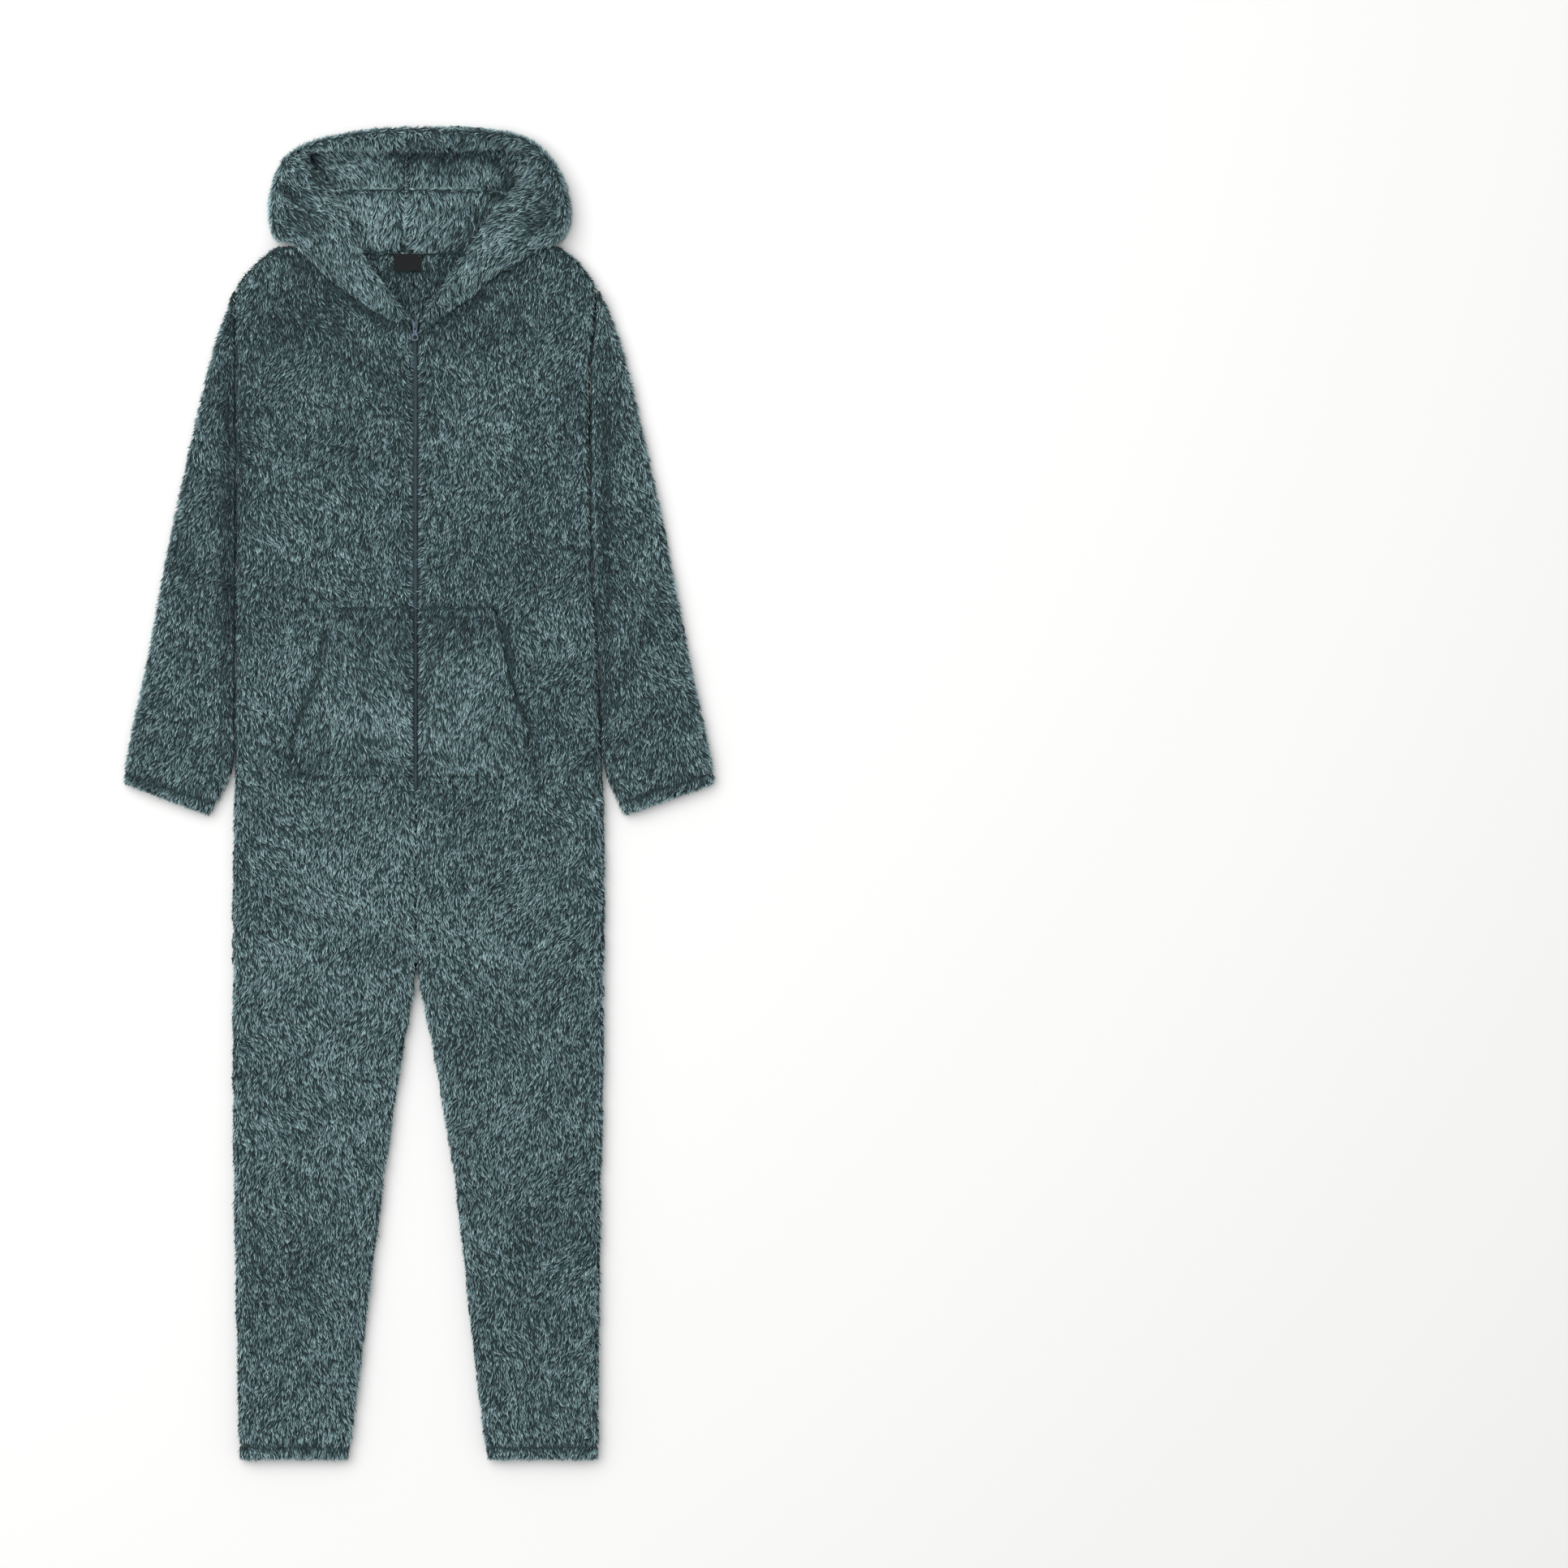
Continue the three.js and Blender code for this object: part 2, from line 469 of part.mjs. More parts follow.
// Stations of the hood's rim and collar, from the top of the centre seam round the lobe and down to the zip.
// outX, outY: the outer fold; inX, inY: the rim's edge round the face; top: height over what it lies on;
// hollow: how far the section opens as a C; onBody: how far it has left the floor for the front of the body
const rimStations = {
  right: [
    { outX: 14, outY: 1761, inX: 14, inY: 1724, top: 27, hollow: 0, onBody: 0 },
    { outX: 47, outY: 1759.5, inX: 45, inY: 1725, top: 28, hollow: 0, onBody: 0 },
    { outX: 92, outY: 1753, inX: 90, inY: 1726, top: 30, hollow: 0.1, onBody: 0 },
    { outX: 128, outY: 1745, inX: 122, inY: 1725, top: 32, hollow: 0.2, onBody: 0 },
    { outX: 158, outY: 1733, inX: 136, inY: 1721, top: 34, hollow: 0.35, onBody: 0 },
    { outX: 178.5, outY: 1715, inX: 139, inY: 1713, top: 37, hollow: 0.7, onBody: 0 },
    { outX: 189.5, outY: 1688, inX: 129, inY: 1703, top: 40, hollow: 1, onBody: 0 },
    { outX: 195.5, outY: 1655, inX: 118, inY: 1688, top: 43, hollow: 1, onBody: 0 },
    { outX: 192, outY: 1622, inX: 106, inY: 1672, top: 46, hollow: 0.8, onBody: 0 },
    { outX: 185, outY: 1608, inX: 95, inY: 1655, top: 49, hollow: 0.4, onBody: 0.35 },
    { outX: 170, outY: 1606, inX: 86, inY: 1634, top: 12, hollow: 0, onBody: 1 },
    { outX: 151, outY: 1594, inX: 75, inY: 1606, top: 12.5, hollow: 0, onBody: 1 },
    { outX: 118, outY: 1561, inX: 59, inY: 1577, top: 12.5, hollow: 0, onBody: 1 },
    { outX: 82, outY: 1534.5, inX: 40, inY: 1551, top: 12, hollow: 0, onBody: 1 },
    { outX: 46, outY: 1511, inX: 22, inY: 1529, top: 11, hollow: 0, onBody: 1 },
    { outX: 26, outY: 1500, inX: 8.5, inY: 1507, top: 9.5, hollow: 0, onBody: 1 },
  ],
  left: [
    { outX: -14, outY: 1761, inX: -14, inY: 1724, top: 27, hollow: 0, onBody: 0 },
    { outX: 43.5, outY: 1760.5, inX: 45, inY: 1725, top: 28, hollow: 0, onBody: 0 },
    { outX: 103, outY: 1757, inX: 100, inY: 1727, top: 30, hollow: 0.1, onBody: 0 },
    { outX: 133, outY: 1751.5, inX: 128, inY: 1727, top: 32, hollow: 0.2, onBody: 0 },
    { outX: 160.5, outY: 1739, inX: 141, inY: 1724, top: 34, hollow: 0.35, onBody: 0 },
    { outX: 179, outY: 1720, inX: 146, inY: 1713, top: 37, hollow: 0.7, onBody: 0 },
    { outX: 194, outY: 1697, inX: 146, inY: 1698, top: 40, hollow: 1, onBody: 0 },
    { outX: 205.5, outY: 1657, inX: 133, inY: 1682, top: 43, hollow: 1, onBody: 0 },
    { outX: 203.5, outY: 1625, inX: 116, inY: 1664, top: 46, hollow: 0.8, onBody: 0 },
    { outX: 189, outY: 1605, inX: 105, inY: 1650, top: 49, hollow: 0.4, onBody: 0.35 },
    { outX: 168, outY: 1598, inX: 94, inY: 1633, top: 12, hollow: 0, onBody: 1 },
    { outX: 134, outY: 1577, inX: 76, inY: 1605, top: 12.5, hollow: 0, onBody: 1 },
    { outX: 106, outY: 1562, inX: 57, inY: 1578, top: 12.5, hollow: 0, onBody: 1 },
    { outX: 77, outY: 1535, inX: 40, inY: 1553, top: 12, hollow: 0, onBody: 1 },
    { outX: 48, outY: 1517, inX: 23, inY: 1531, top: 11, hollow: 0, onBody: 1 },
    { outX: 26, outY: 1498, inX: 9.5, inY: 1506, top: 9.5, hollow: 0, onBody: 1 },
  ],
};

const rimTopCount = 7;
function rimRing(station, side) {
  const outX = side * station.outX;
  const inX = side * station.inX;
  const depth = Math.hypot(inX - outX, station.inY - station.outY);
  const sink = 2.5;
  const floorAt = (share) => {
    const x = THREE.MathUtils.lerp(outX, inX, share);
    const y = THREE.MathUtils.lerp(station.outY, station.inY, share);
    return station.onBody * (frontTop(x, y) - sink);
  };
  const topAt = (share) => (station.onBody === 1 ? floorAt(share) + station.top + sink : station.top);
  const wall = clothThick;
  const solid = [
    [depth, topAt(1) - 4.5], [depth - 3, topAt(1) - 0.5], [0.7 * depth, topAt(0.7) + 0.8],
    [0.42 * depth, topAt(0.42)], [0.2 * depth, topAt(0.2) - 1.5], [3.2, topAt(0) - 4.5],
    [0, THREE.MathUtils.lerp(floorAt(0), topAt(0), 0.5)], [2.5, floorAt(0) + 1.2],
    [0.15 * depth, floorAt(0.15)], [0.3 * depth, floorAt(0.3)], [0.45 * depth, floorAt(0.45)],
    [0.6 * depth, floorAt(0.6)], [0.75 * depth, floorAt(0.75)], [depth - 4, floorAt(1)],
  ];
  const top = topAt(0);
  const open = [
    [depth, top - 5], [depth - 3, top - 0.8], [0.7 * depth, top + 1], [0.42 * depth, top],
    [0.17 * depth, top - 4.5], [4, top - 12], [0, 0.45 * top],
    [2.5, 3], [12, 1], [21, 2], [wall, 0.36 * top],
    [wall + 3, top - wall - 3], [0.55 * depth, top - wall], [depth - 4, top - wall],
  ];
  return solid.map(([solidD, solidZ], i) => {
    const share = THREE.MathUtils.lerp(solidD, open[i][0], station.hollow) / depth;
    const x = THREE.MathUtils.lerp(outX, inX, share);
    const y = THREE.MathUtils.lerp(station.outY, station.inY, share);
    return [x, y, THREE.MathUtils.lerp(solidZ, open[i][1], station.hollow)];
  });
}

// More stations between the given ones, on smooth curves
function refineStations(stations, count) {
  const columns = ['outX', 'outY', 'inX', 'inY', 'top', 'hollow', 'onBody'];
  const result = [];
  for (let i = 0; i + 1 < stations.length; i++) {
    for (let k = 0; k < count; k++) {
      const station = {};
      const leavesFloor = stations[i].onBody !== stations[i + 1].onBody;
      for (const column of columns) {
        const last = stations.length - 1;
        const smooth = column.endsWith('X') || column.endsWith('Y');
        const [p0, p1, p2, p3] = [i - 1, i, i + 1, i + 2].map(
          (n) => stations[Math.min(Math.max(n, 0), last)][column]);
        const t = k / count;
        station[column] = smooth
          ? 0.5 * (2 * p1 + (p2 - p0) * t + (2 * p0 - 5 * p1 + 4 * p2 - p3) * t * t
            + (3 * p1 - p0 - 3 * p2 + p3) * t * t * t)
          : THREE.MathUtils.lerp(p1, p2, t);
      }
      if (leavesFloor && k > 0) continue;
      result.push(station);
    }
  }
  result.push(stations[stations.length - 1]);
  return result;
}

// The body halves widened by the gap that the hood keeps from them
const hoodClear = 0.4;
const bodyCutter = [1, -1].flatMap((side) => [frontHalf(side, hoodClear), backHalf(side, hoodClear)])
  .map(toManifold).reduce((sum, solid) => sum.add(solid));

function hoodHalf(side) {
  const column = side === 1 ? 'left' : 'right';
  const seamX = hoodSeam + side * seamGap / 2;
  const lobe = smoothLine(hoodOutline[column].slice(1).map(([x, y]) => [side * x, y]), 14);
  const outline = [[seamX, hoodTopY - 2], ...lobe, ...pouchLine(side, seamX, 0)];
  const sheet = hoodLayer(outline, 0, pressedThick + 0.5, 3.5);
  const foldLine = smoothLine([[seamX, crestY - 1], [side * 60, crestY], [side * 105, crestY - 3],
    [side * 135, crestY - 16], [side * 148, crestY - 45]], 8);
  const fold = hoodLayer([...foldLine, ...pouchLine(side, seamX, 22)], 7, 2 * pressedThick, 3.5);
  const crest = hoodLayer([...foldLine, [side * 140, neckSeamY + 24], [side * 104, neckSeamY + 1],
    [seamX, neckSeamY + 0.6]], 9, 2 * pressedThick + clothThick + layerGap, 6);
  const stations = refineStations(rimStations[column], 2);
  const rings = stations.map((row) => rimRing(row, side));
  for (const point of rings[0]) point[0] = seamX;
  const rim = toManifold(loft(rings, rimTopCount));
  const whole = sheet.add(fold).add(crest).add(rim);
  return fromManifold(whole.subtract(bodyCutter));
}

// Zip tapes and coil, in rows that follow the body
const zipYs = [884, 905, 930, 955, 980, 1050, 1126, 1177, 1240, 1300, 1372, 1418, 1445, 1466, 1482, zipTopY];
function zipStrip(fromX, toX, low, high) {
  const rings = zipYs.map((y) => {
    const base = frontBottom(0, y);
    return [[fromX, y, base + high], [toX, y, base + high], [toX, y, base + low], [fromX, y, base + low]];
  });
  return loft(rings, 2);
}
const tapeLow = 4;
const tapeHigh = tapeLow + tapeThick;
function coilStrip() {
  const half = coilWidth / 2;
  const low = tapeHigh + seamGap;
  const rings = zipYs.map((y) => {
    const base = frontBottom(0, y) + low;
    return [[-half, y, base + 0.5 * coilThick], [-0.55 * half, y, base + 0.92 * coilThick],
      [0, y, base + coilThick], [0.55 * half, y, base + 0.92 * coilThick], [half, y, base + 0.5 * coilThick],
      [half, y, base], [-half, y, base]];
  });
  return loft(rings, 5);
}

// The slider: a shield-shaped top plate, its flanges and core in one, and a bridge that the tab hangs on
const sliderLength = 10.5;
const sliderWidth = 8.6;
const sliderThick = 5.4;
const bridgeWide = 2;
const bridgeHole = 3.4;
const bridgeWall = 1.3;
const hingeUp = 3.1;            // hinge axis over the slider's top face
const tabThick = 1.3;
const tabLength = 20.5;
const tabEye = 5.6;
const tabEyeWall = 2;
const tabSlot = 6.4;
const tabNeck = 9;              // where the tab is narrowest, down from its hinge
const sliderTilt = 0.1;         // radians, as the cloth rises towards the neck

function slab(shape, depth, bevel, segments) {
  const geometry = new THREE.ExtrudeGeometry(shape, {
    depth: depth - 2 * bevel, bevelEnabled: bevel > 0, bevelThickness: bevel, bevelSize: bevel,
    bevelOffset: -bevel, bevelSegments: 1, curveSegments: segments, steps: 1,
  });
  geometry.translate(0, 0, bevel);
  return geometry;
}
function sliderGeometry() {
  const outline = new THREE.Shape();
  const half = sliderWidth / 2;
  outline.moveTo(-0.7 * half, 0);
  outline.lineTo(0.7 * half, 0);
  outline.quadraticCurveTo(0.8 * half, 0.45 * sliderLength, half, 0.8 * sliderLength);
  outline.quadraticCurveTo(half, sliderLength, 0.55 * half, sliderLength);
  outline.lineTo(-0.55 * half, sliderLength);
  outline.quadraticCurveTo(-half, sliderLength, -half, 0.8 * sliderLength);
  outline.quadraticCurveTo(-0.8 * half, 0.45 * sliderLength, -0.7 * half, 0);
  const body = toManifold(slab(outline, sliderThick, 0.7, 4));
  const tall = hingeUp + bridgeHole / 2 + bridgeWall;
  const arch = new THREE.Shape();
  const archHalf = bridgeHole / 2 + bridgeWall + 0.6;
  arch.moveTo(-archHalf, -0.8);
  arch.lineTo(archHalf, -0.8);
  arch.lineTo(archHalf, tall - 1.6);
  arch.quadraticCurveTo(archHalf, tall, archHalf - 1.6, tall);
  arch.lineTo(1.6 - archHalf, tall);
  arch.quadraticCurveTo(-archHalf, tall, -archHalf, tall - 1.6);
  arch.closePath();
  const hole = new THREE.Path();
  hole.absarc(0, hingeUp, bridgeHole / 2, 0, 2 * Math.PI, true);
  arch.holes.push(hole);
  const bridge = new THREE.ExtrudeGeometry(arch, {
    depth: bridgeWide, bevelEnabled: false, curveSegments: 10,
  });
  bridge.translate(0, 0, -bridgeWide / 2);
  bridge.rotateX(Math.PI / 2);
  bridge.rotateZ(Math.PI / 2);
  bridge.translate(0, sliderLength / 2, sliderThick);
  return fromManifold(body.add(toManifold(bridge)));
}

// The pull tab hangs from a bar through the bridge and widens to a round eye at its end
function tabGeometry() {
  const barHalf = 0.7;
  const slotHalf = bridgeWide / 2 + 0.5;
  const armWide = 1.3;
  const topHalf = slotHalf + armWide;
  const neckHalf = 2.3;
  const endHalf = tabEye / 2 + tabEyeWall;
  const outline = new THREE.Shape();
  outline.moveTo(-topHalf, barHalf);
  outline.lineTo(-topHalf, -tabSlot);
  outline.lineTo(-neckHalf, -tabNeck);
  outline.absarc(0, endHalf - tabLength, endHalf, Math.PI, 2 * Math.PI, false);
  outline.lineTo(neckHalf, -tabNeck);
  outline.lineTo(topHalf, -tabSlot);
  outline.lineTo(topHalf, barHalf);
  outline.closePath();
  const slot = new THREE.Path();
  slot.moveTo(-slotHalf, -barHalf);
  slot.lineTo(slotHalf, -barHalf);
  slot.lineTo(slotHalf, 0.4 - tabSlot);
  slot.lineTo(-slotHalf, 0.4 - tabSlot);
  slot.closePath();
  const eye = new THREE.Path();
  eye.absarc(0, endHalf - tabLength, tabEye / 2, 0, 2 * Math.PI, true);
  outline.holes.push(slot, eye);
  const geometry = new THREE.ExtrudeGeometry(outline, {
    depth: tabThick, bevelEnabled: false, curveSegments: 8,
  });
  geometry.translate(0, 0, -tabThick / 2);
  return geometry;
}

// The woven label, sewn in at the back neck seam
const labelWide = 37;
const labelLong = 22;
const labelX = -10;
function labelGeometry() {
  const columns = 5;
  const rings = [];
  for (let i = 0; i <= columns; i++) {
    const x = labelX + labelWide * (i / columns - 0.5);
    const top = neckSeamY - 1.5;
    const low = backTop(x, top) + layerGap;
    const curl = 0.6 * Math.cos((i / columns - 0.5) * Math.PI);
    rings.push([[x, top, low + 1], [x, top - labelLong / 2, low + 1.1],
      [x, top - labelLong, low + 1.6 + curl],
      [x, top - labelLong, low + 0.6 + curl], [x, top - labelLong / 2, low + 0.3], [x, top, low]]);
  }
  return loft(rings, 3);
}

// Colours and finishes
const fleece = (hex) => new THREE.MeshStandardMaterial({ color: hex, roughness: 0.95, metalness: 0 });
const frontFleece = fleece(0x4a6267);
const backFleece = fleece(0x41575c);
const hoodFleece = fleece(0x50696d);
const pocketFleece = fleece(0x4d666b);
const zipWeave = new THREE.MeshStandardMaterial({ color: 0x3a4e56, roughness: 0.8, metalness: 0 });
const zipNylon = new THREE.MeshStandardMaterial({ color: 0x4c626b, roughness: 0.4, metalness: 0 });
const paintedMetal = new THREE.MeshStandardMaterial({ color: 0x4b6068, roughness: 0.35, metalness: 0.6 });
const satin = new THREE.MeshStandardMaterial({ color: 0x15191c, roughness: 0.5, metalness: 0 });

const onesie = new THREE.Group();
function addPiece(name, geometry, material, parent = onesie) {
  const mesh = new THREE.Mesh(geometry, material);
  mesh.name = name;
  parent.add(mesh);
  return mesh;
}

for (const [name, side] of [['left', 1], ['right', -1]]) {
  const front = toManifold(frontHalf(side)).subtract(toManifold(backHalf(side, seamGap)));
  addPiece(`front_${name}`, fromManifold(front), frontFleece);
  addPiece(`back_${name}`, backHalf(side), backFleece);
  addPiece(`sleeve_${name}`, sleeve(side), frontFleece);
  addPiece(`hood_${name}`, hoodHalf(side), hoodFleece);
  addPiece(`pocket_${name}`, pocket(side), pocketFleece);
  const inner = side * seamGap / 2;
  const outer = side * (zipHalfGap - seamGap);
  addPiece(`zip_tape_${name}`, zipStrip(inner, outer, tapeLow, tapeHigh), zipWeave);
}
addPiece('zip_coil', coilStrip(), zipNylon);
addPiece('neck_label', labelGeometry(), satin);

// The slider sits at the top of the closed coil, tilted as the cloth slopes there
const slider = new THREE.Group();
slider.position.set(0, zipTopY + 0.6, frontBottom(0, zipTopY) + tapeLow);
slider.rotation.x = sliderTilt;
onesie.add(slider);
addPiece('zip_slider', sliderGeometry(), paintedMetal, slider);
const pullTab = addPiece('zip_pull_tab', tabGeometry(), paintedMetal, slider);
pullTab.position.set(0, sliderLength / 2, sliderThick + hingeUp);

// The origin is under the middle of the whole garment, on the surface it lies on
const extent = new THREE.Box3().setFromObject(onesie, true);
const middle = extent.getCenter(new THREE.Vector3());
onesie.position.set(-middle.x, -middle.y, -extent.min.z);
onesie.updateMatrixWorld(true);

export default onesie;
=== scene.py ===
import math

import bmesh
import bpy
import numpy as np
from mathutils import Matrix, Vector
from mathutils.bvhtree import BVHTree


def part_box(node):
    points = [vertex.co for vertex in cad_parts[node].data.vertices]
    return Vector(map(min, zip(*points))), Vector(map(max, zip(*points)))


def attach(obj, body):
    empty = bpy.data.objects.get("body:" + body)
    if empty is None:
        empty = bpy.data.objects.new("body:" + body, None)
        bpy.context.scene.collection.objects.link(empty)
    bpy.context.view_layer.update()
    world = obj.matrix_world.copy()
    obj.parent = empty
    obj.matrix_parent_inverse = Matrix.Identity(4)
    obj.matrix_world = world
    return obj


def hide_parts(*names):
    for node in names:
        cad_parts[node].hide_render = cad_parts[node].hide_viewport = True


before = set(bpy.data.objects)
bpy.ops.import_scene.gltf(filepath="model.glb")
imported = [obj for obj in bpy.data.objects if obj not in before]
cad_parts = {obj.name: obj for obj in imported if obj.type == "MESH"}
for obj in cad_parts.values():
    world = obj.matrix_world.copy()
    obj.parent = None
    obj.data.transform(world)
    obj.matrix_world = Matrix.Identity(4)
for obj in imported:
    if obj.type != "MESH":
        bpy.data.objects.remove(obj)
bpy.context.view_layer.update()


def mm(value):           # the script's sizes are in millimetres, Blender's in metres
    return value / 1000


def deselectAll():
    if bpy.context.object and bpy.context.object.mode != "OBJECT":
        bpy.ops.object.mode_set(mode="OBJECT")
    bpy.ops.object.select_all(action="DESELECT")


deselectAll()
# a studio picture on white, with its full contrast
bpy.context.scene.view_settings.view_transform = "Standard"

# camera: straight above the laid garment, which lies to the left in the picture
cameraSettings = {
    "centreX": 481.8,
    "centreY": 11.9,
    "frameWidth": 2067.2,    # what the picture takes in, at the height of the cloth
    "height": 8000,
    "clothTop": 22,
}


def makeCamera(s):
    bpy.ops.object.camera_add(location=(mm(s["centreX"]), mm(s["centreY"]), mm(s["height"] + s["clothTop"])),
                              rotation=(0, 0, 0))
    camera = bpy.context.object
    camera.data.sensor_width = 36
    camera.data.lens = 36 * s["height"] / s["frameWidth"]
    camera.data.clip_end = 100
    bpy.context.scene.camera = camera
    print("camera placed")


makeCamera(cameraSettings)


# materials

def hexColour(code):     # an sRGB hex value as linear RGBA
    channels = [int(code[i:i + 2], 16) / 255 for i in (1, 3, 5)]
    linear = [c / 12.92 if c <= 0.04045 else ((c + 0.055) / 1.055) ** 2.4 for c in channels]
    return (*linear, 1.0)


def newMaterial(name, settings):
    material = bpy.data.materials.new(name)
    material.use_nodes = True
    shader = material.node_tree.nodes["Principled BSDF"]
    for socket, value in settings.items():
        shader.inputs[socket].default_value = value
    return material, shader


def addNode(material, kind, settings=None, links=None):
    node = material.node_tree.nodes.new(kind)
    for name, value in (settings or {}).items():
        if name in node.inputs:
            node.inputs[name].default_value = value
        else:
            setattr(node, name, value)
    for name, source in (links or {}).items():
        material.node_tree.links.new(source, node.inputs[name])
    return node


def colourRamp(material, factor, stops):
    ramp = addNode(material, "ShaderNodeValToRGB", links={"Fac": factor})
    band = ramp.color_ramp
    while len(band.elements) < len(stops):
        band.elements.new(0.5)
    for element, (place, colour) in zip(band.elements, stops):
        element.position = place
        element.color = hexColour(colour)
    return ramp


pileColours = {
    "root": "#1d2c30",       # the shade down between the tufts
    "low": "#3e5459",
    "middle": "#749095",
    "light": "#b1d1d5",
    "tip": "#eafbfd",        # the fine ends catch the light
    # the ground is coloured near black, painted shade deep under the pile; its short hairs a little lighter
    "ground": "#141f22",
    "groundHair": "#3c5155",
    "darkTuft": "#4c5759",   # how far a whole tuft is darkened, and lightened
    "plainTuft": "#b5bfc1",
    "lightTuft": "#ffffff",
    "darkHair": "#a0aaac",   # and the single hairs in it
    "lightHair": "#ffffff",
    "hairsAcross": 90,       # hairs for the whole width of the map, a tuft takes a 25th of it
}


def makePileMaterial(s):
    # long-pile polyester fleece, knitted, then brushed and sheared: matt, with painted shade in its depth
    # and a painted highlight at the ends of its hairs. Across its own map lies the tuft's tone, and up it
    # the way from root to tip
    material, shader = newMaterial("long-pile polyester fleece", {
        "Roughness": 0.65, "IOR": 1.5, "Specular IOR Level": 0.3,
        "Sheen Weight": 0.05, "Sheen Roughness": 0.5})
    place = addNode(material, "ShaderNodeUVMap", {"uv_map": "OFBake"})
    split = addNode(material, "ShaderNodeSeparateXYZ", links={"Vector": place.outputs["UV"]})
    # from root to tip: painted shade at the roots, a painted highlight at the tips
    along = colourRamp(material, split.outputs["Y"], [
        (0.0, s["root"]), (0.15, s["low"]), (0.35, s["middle"]), (0.6, s["light"]), (1.0, s["tip"])])
    # the tuft's tone carries its random variation and the painted light and shade laid on it
    tone = colourRamp(material, split.outputs["X"], [
        (0.0, s["darkTuft"]), (0.5, s["plainTuft"]), (1.0, s["lightTuft"])])
    stretched = addNode(material, "ShaderNodeMapping", {"Scale": (s["hairsAcross"], 1.3, 1)},
                        {"Vector": place.outputs["UV"]})
    hairs = addNode(material, "ShaderNodeTexNoise", {"Scale": 1.0, "Detail": 1.0},
                    {"Vector": stretched.outputs["Vector"]})
    strand = colourRamp(material, hairs.outputs["Fac"], [(0.35, s["darkHair"]), (0.6, s["lightHair"])])
    links = material.node_tree.links
    shade = along.outputs["Color"]
    for other in (tone, strand):
        mix = addNode(material, "ShaderNodeMix", {"data_type": "RGBA", "blend_type": "MULTIPLY"})
        mix.inputs[0].default_value = 1.0
        links.new(shade, mix.inputs[6])
        links.new(other.outputs["Color"], mix.inputs[7])
        shade = mix.outputs[2]
    links.new(shade, shader.inputs["Base Color"])
    return material


def makeGroundMaterial(s):
    # the fleece's knitted ground with the shortest hairs on it: matt, in fine strokes 1.3 mm across,
    # coloured near black as painted shade deep under the pile
    material, shader = newMaterial("knitted fleece ground in painted shade", {
        "Roughness": 0.9, "IOR": 1.5, "Specular IOR Level": 0.2})
    place = addNode(material, "ShaderNodeTexCoord")
    drawn = addNode(material, "ShaderNodeMapping", {"Scale": (1000 / 1.3, 1000 / 7, 1000 / 3)},
                    {"Vector": place.outputs["Object"]})
    strokes = addNode(material, "ShaderNodeTexNoise", {"Scale": 1.0, "Detail": 2.0, "Roughness": 0.6,
                                                       "Distortion": 0.4},
                      {"Vector": drawn.outputs["Vector"]})
    shade = colourRamp(material, strokes.outputs["Fac"], [(0.35, s["ground"]), (0.62, s["groundHair"])])
    material.node_tree.links.new(shade.outputs["Color"], shader.inputs["Base Color"])
    bump = addNode(material, "ShaderNodeBump", {"Strength": 0.8, "Distance": mm(1.0)},
                   {"Height": strokes.outputs["Fac"]})
    material.node_tree.links.new(bump.outputs["Normal"], shader.inputs["Normal"])
    return material


zipColours = {"tape": "#1c262b", "tapeLight": "#2b383e", "coil": "#364854", "paint": "#42566a",
              "satin": "#06080a", "satinLight": "#0d1012", "thread": "#2f3f43"}


def makeTapeMaterial(s):
    # woven polyester tape: matt, with ribs across it 0.6 mm apart, drawn at 1.2 mm so that they show
    material, shader = newMaterial("woven polyester tape", {"Roughness": 0.8, "IOR": 1.5})
    place = addNode(material, "ShaderNodeTexCoord")
    ribs = addNode(material, "ShaderNodeTexWave", {"Scale": 1000 / 1.2 / math.tau, "bands_direction": "Y"},
                   {"Vector": place.outputs["Object"]})
    shade = colourRamp(material, ribs.outputs["Fac"], [(0.2, s["tape"]), (0.8, s["tapeLight"])])
    bump = addNode(material, "ShaderNodeBump", {"Strength": 0.5, "Distance": mm(0.3)},
                   {"Height": ribs.outputs["Fac"]})
    material.node_tree.links.new(shade.outputs["Color"], shader.inputs["Base Color"])
    material.node_tree.links.new(bump.outputs["Normal"], shader.inputs["Normal"])
    return material


def makeCoilMaterial(s):
    # nylon monofilament, dyed and coiled: smooth, with a soft shine along each turn
    material, shader = newMaterial("dyed nylon coil", {
        "Roughness": 0.5, "IOR": 1.5, "Specular IOR Level": 0.3})
    place = addNode(material, "ShaderNodeTexCoord")
    dye = addNode(material, "ShaderNodeTexNoise", {"Scale": 1000 / 14, "Detail": 1.0},
                  {"Vector": place.outputs["Object"]})
    shade = colourRamp(material, dye.outputs["Fac"], [(0.3, s["tapeLight"]), (0.65, s["coil"])])
    material.node_tree.links.new(shade.outputs["Color"], shader.inputs["Base Color"])
    return material


def makePaintMaterial(s):
    # die-cast zinc, painted to match the tape: smooth satin paint over a faintly uneven casting
    material, shader = newMaterial("painted die-cast zinc", {
        "Roughness": 0.42, "IOR": 1.5, "Coat Weight": 0.15, "Coat Roughness": 0.25})
    place = addNode(material, "ShaderNodeTexCoord")
    cast = addNode(material, "ShaderNodeTexNoise", {"Scale": 1000 / 2.2, "Detail": 2.0},
                   {"Vector": place.outputs["Object"]})
    shade = colourRamp(material, cast.outputs["Fac"], [(0.3, s["coil"]), (0.6, s["paint"])])
    bump = addNode(material, "ShaderNodeBump", {"Strength": 0.15, "Distance": mm(0.1)},
                   {"Height": cast.outputs["Fac"]})
    material.node_tree.links.new(shade.outputs["Color"], shader.inputs["Base Color"])
    material.node_tree.links.new(bump.outputs["Normal"], shader.inputs["Normal"])
    return material


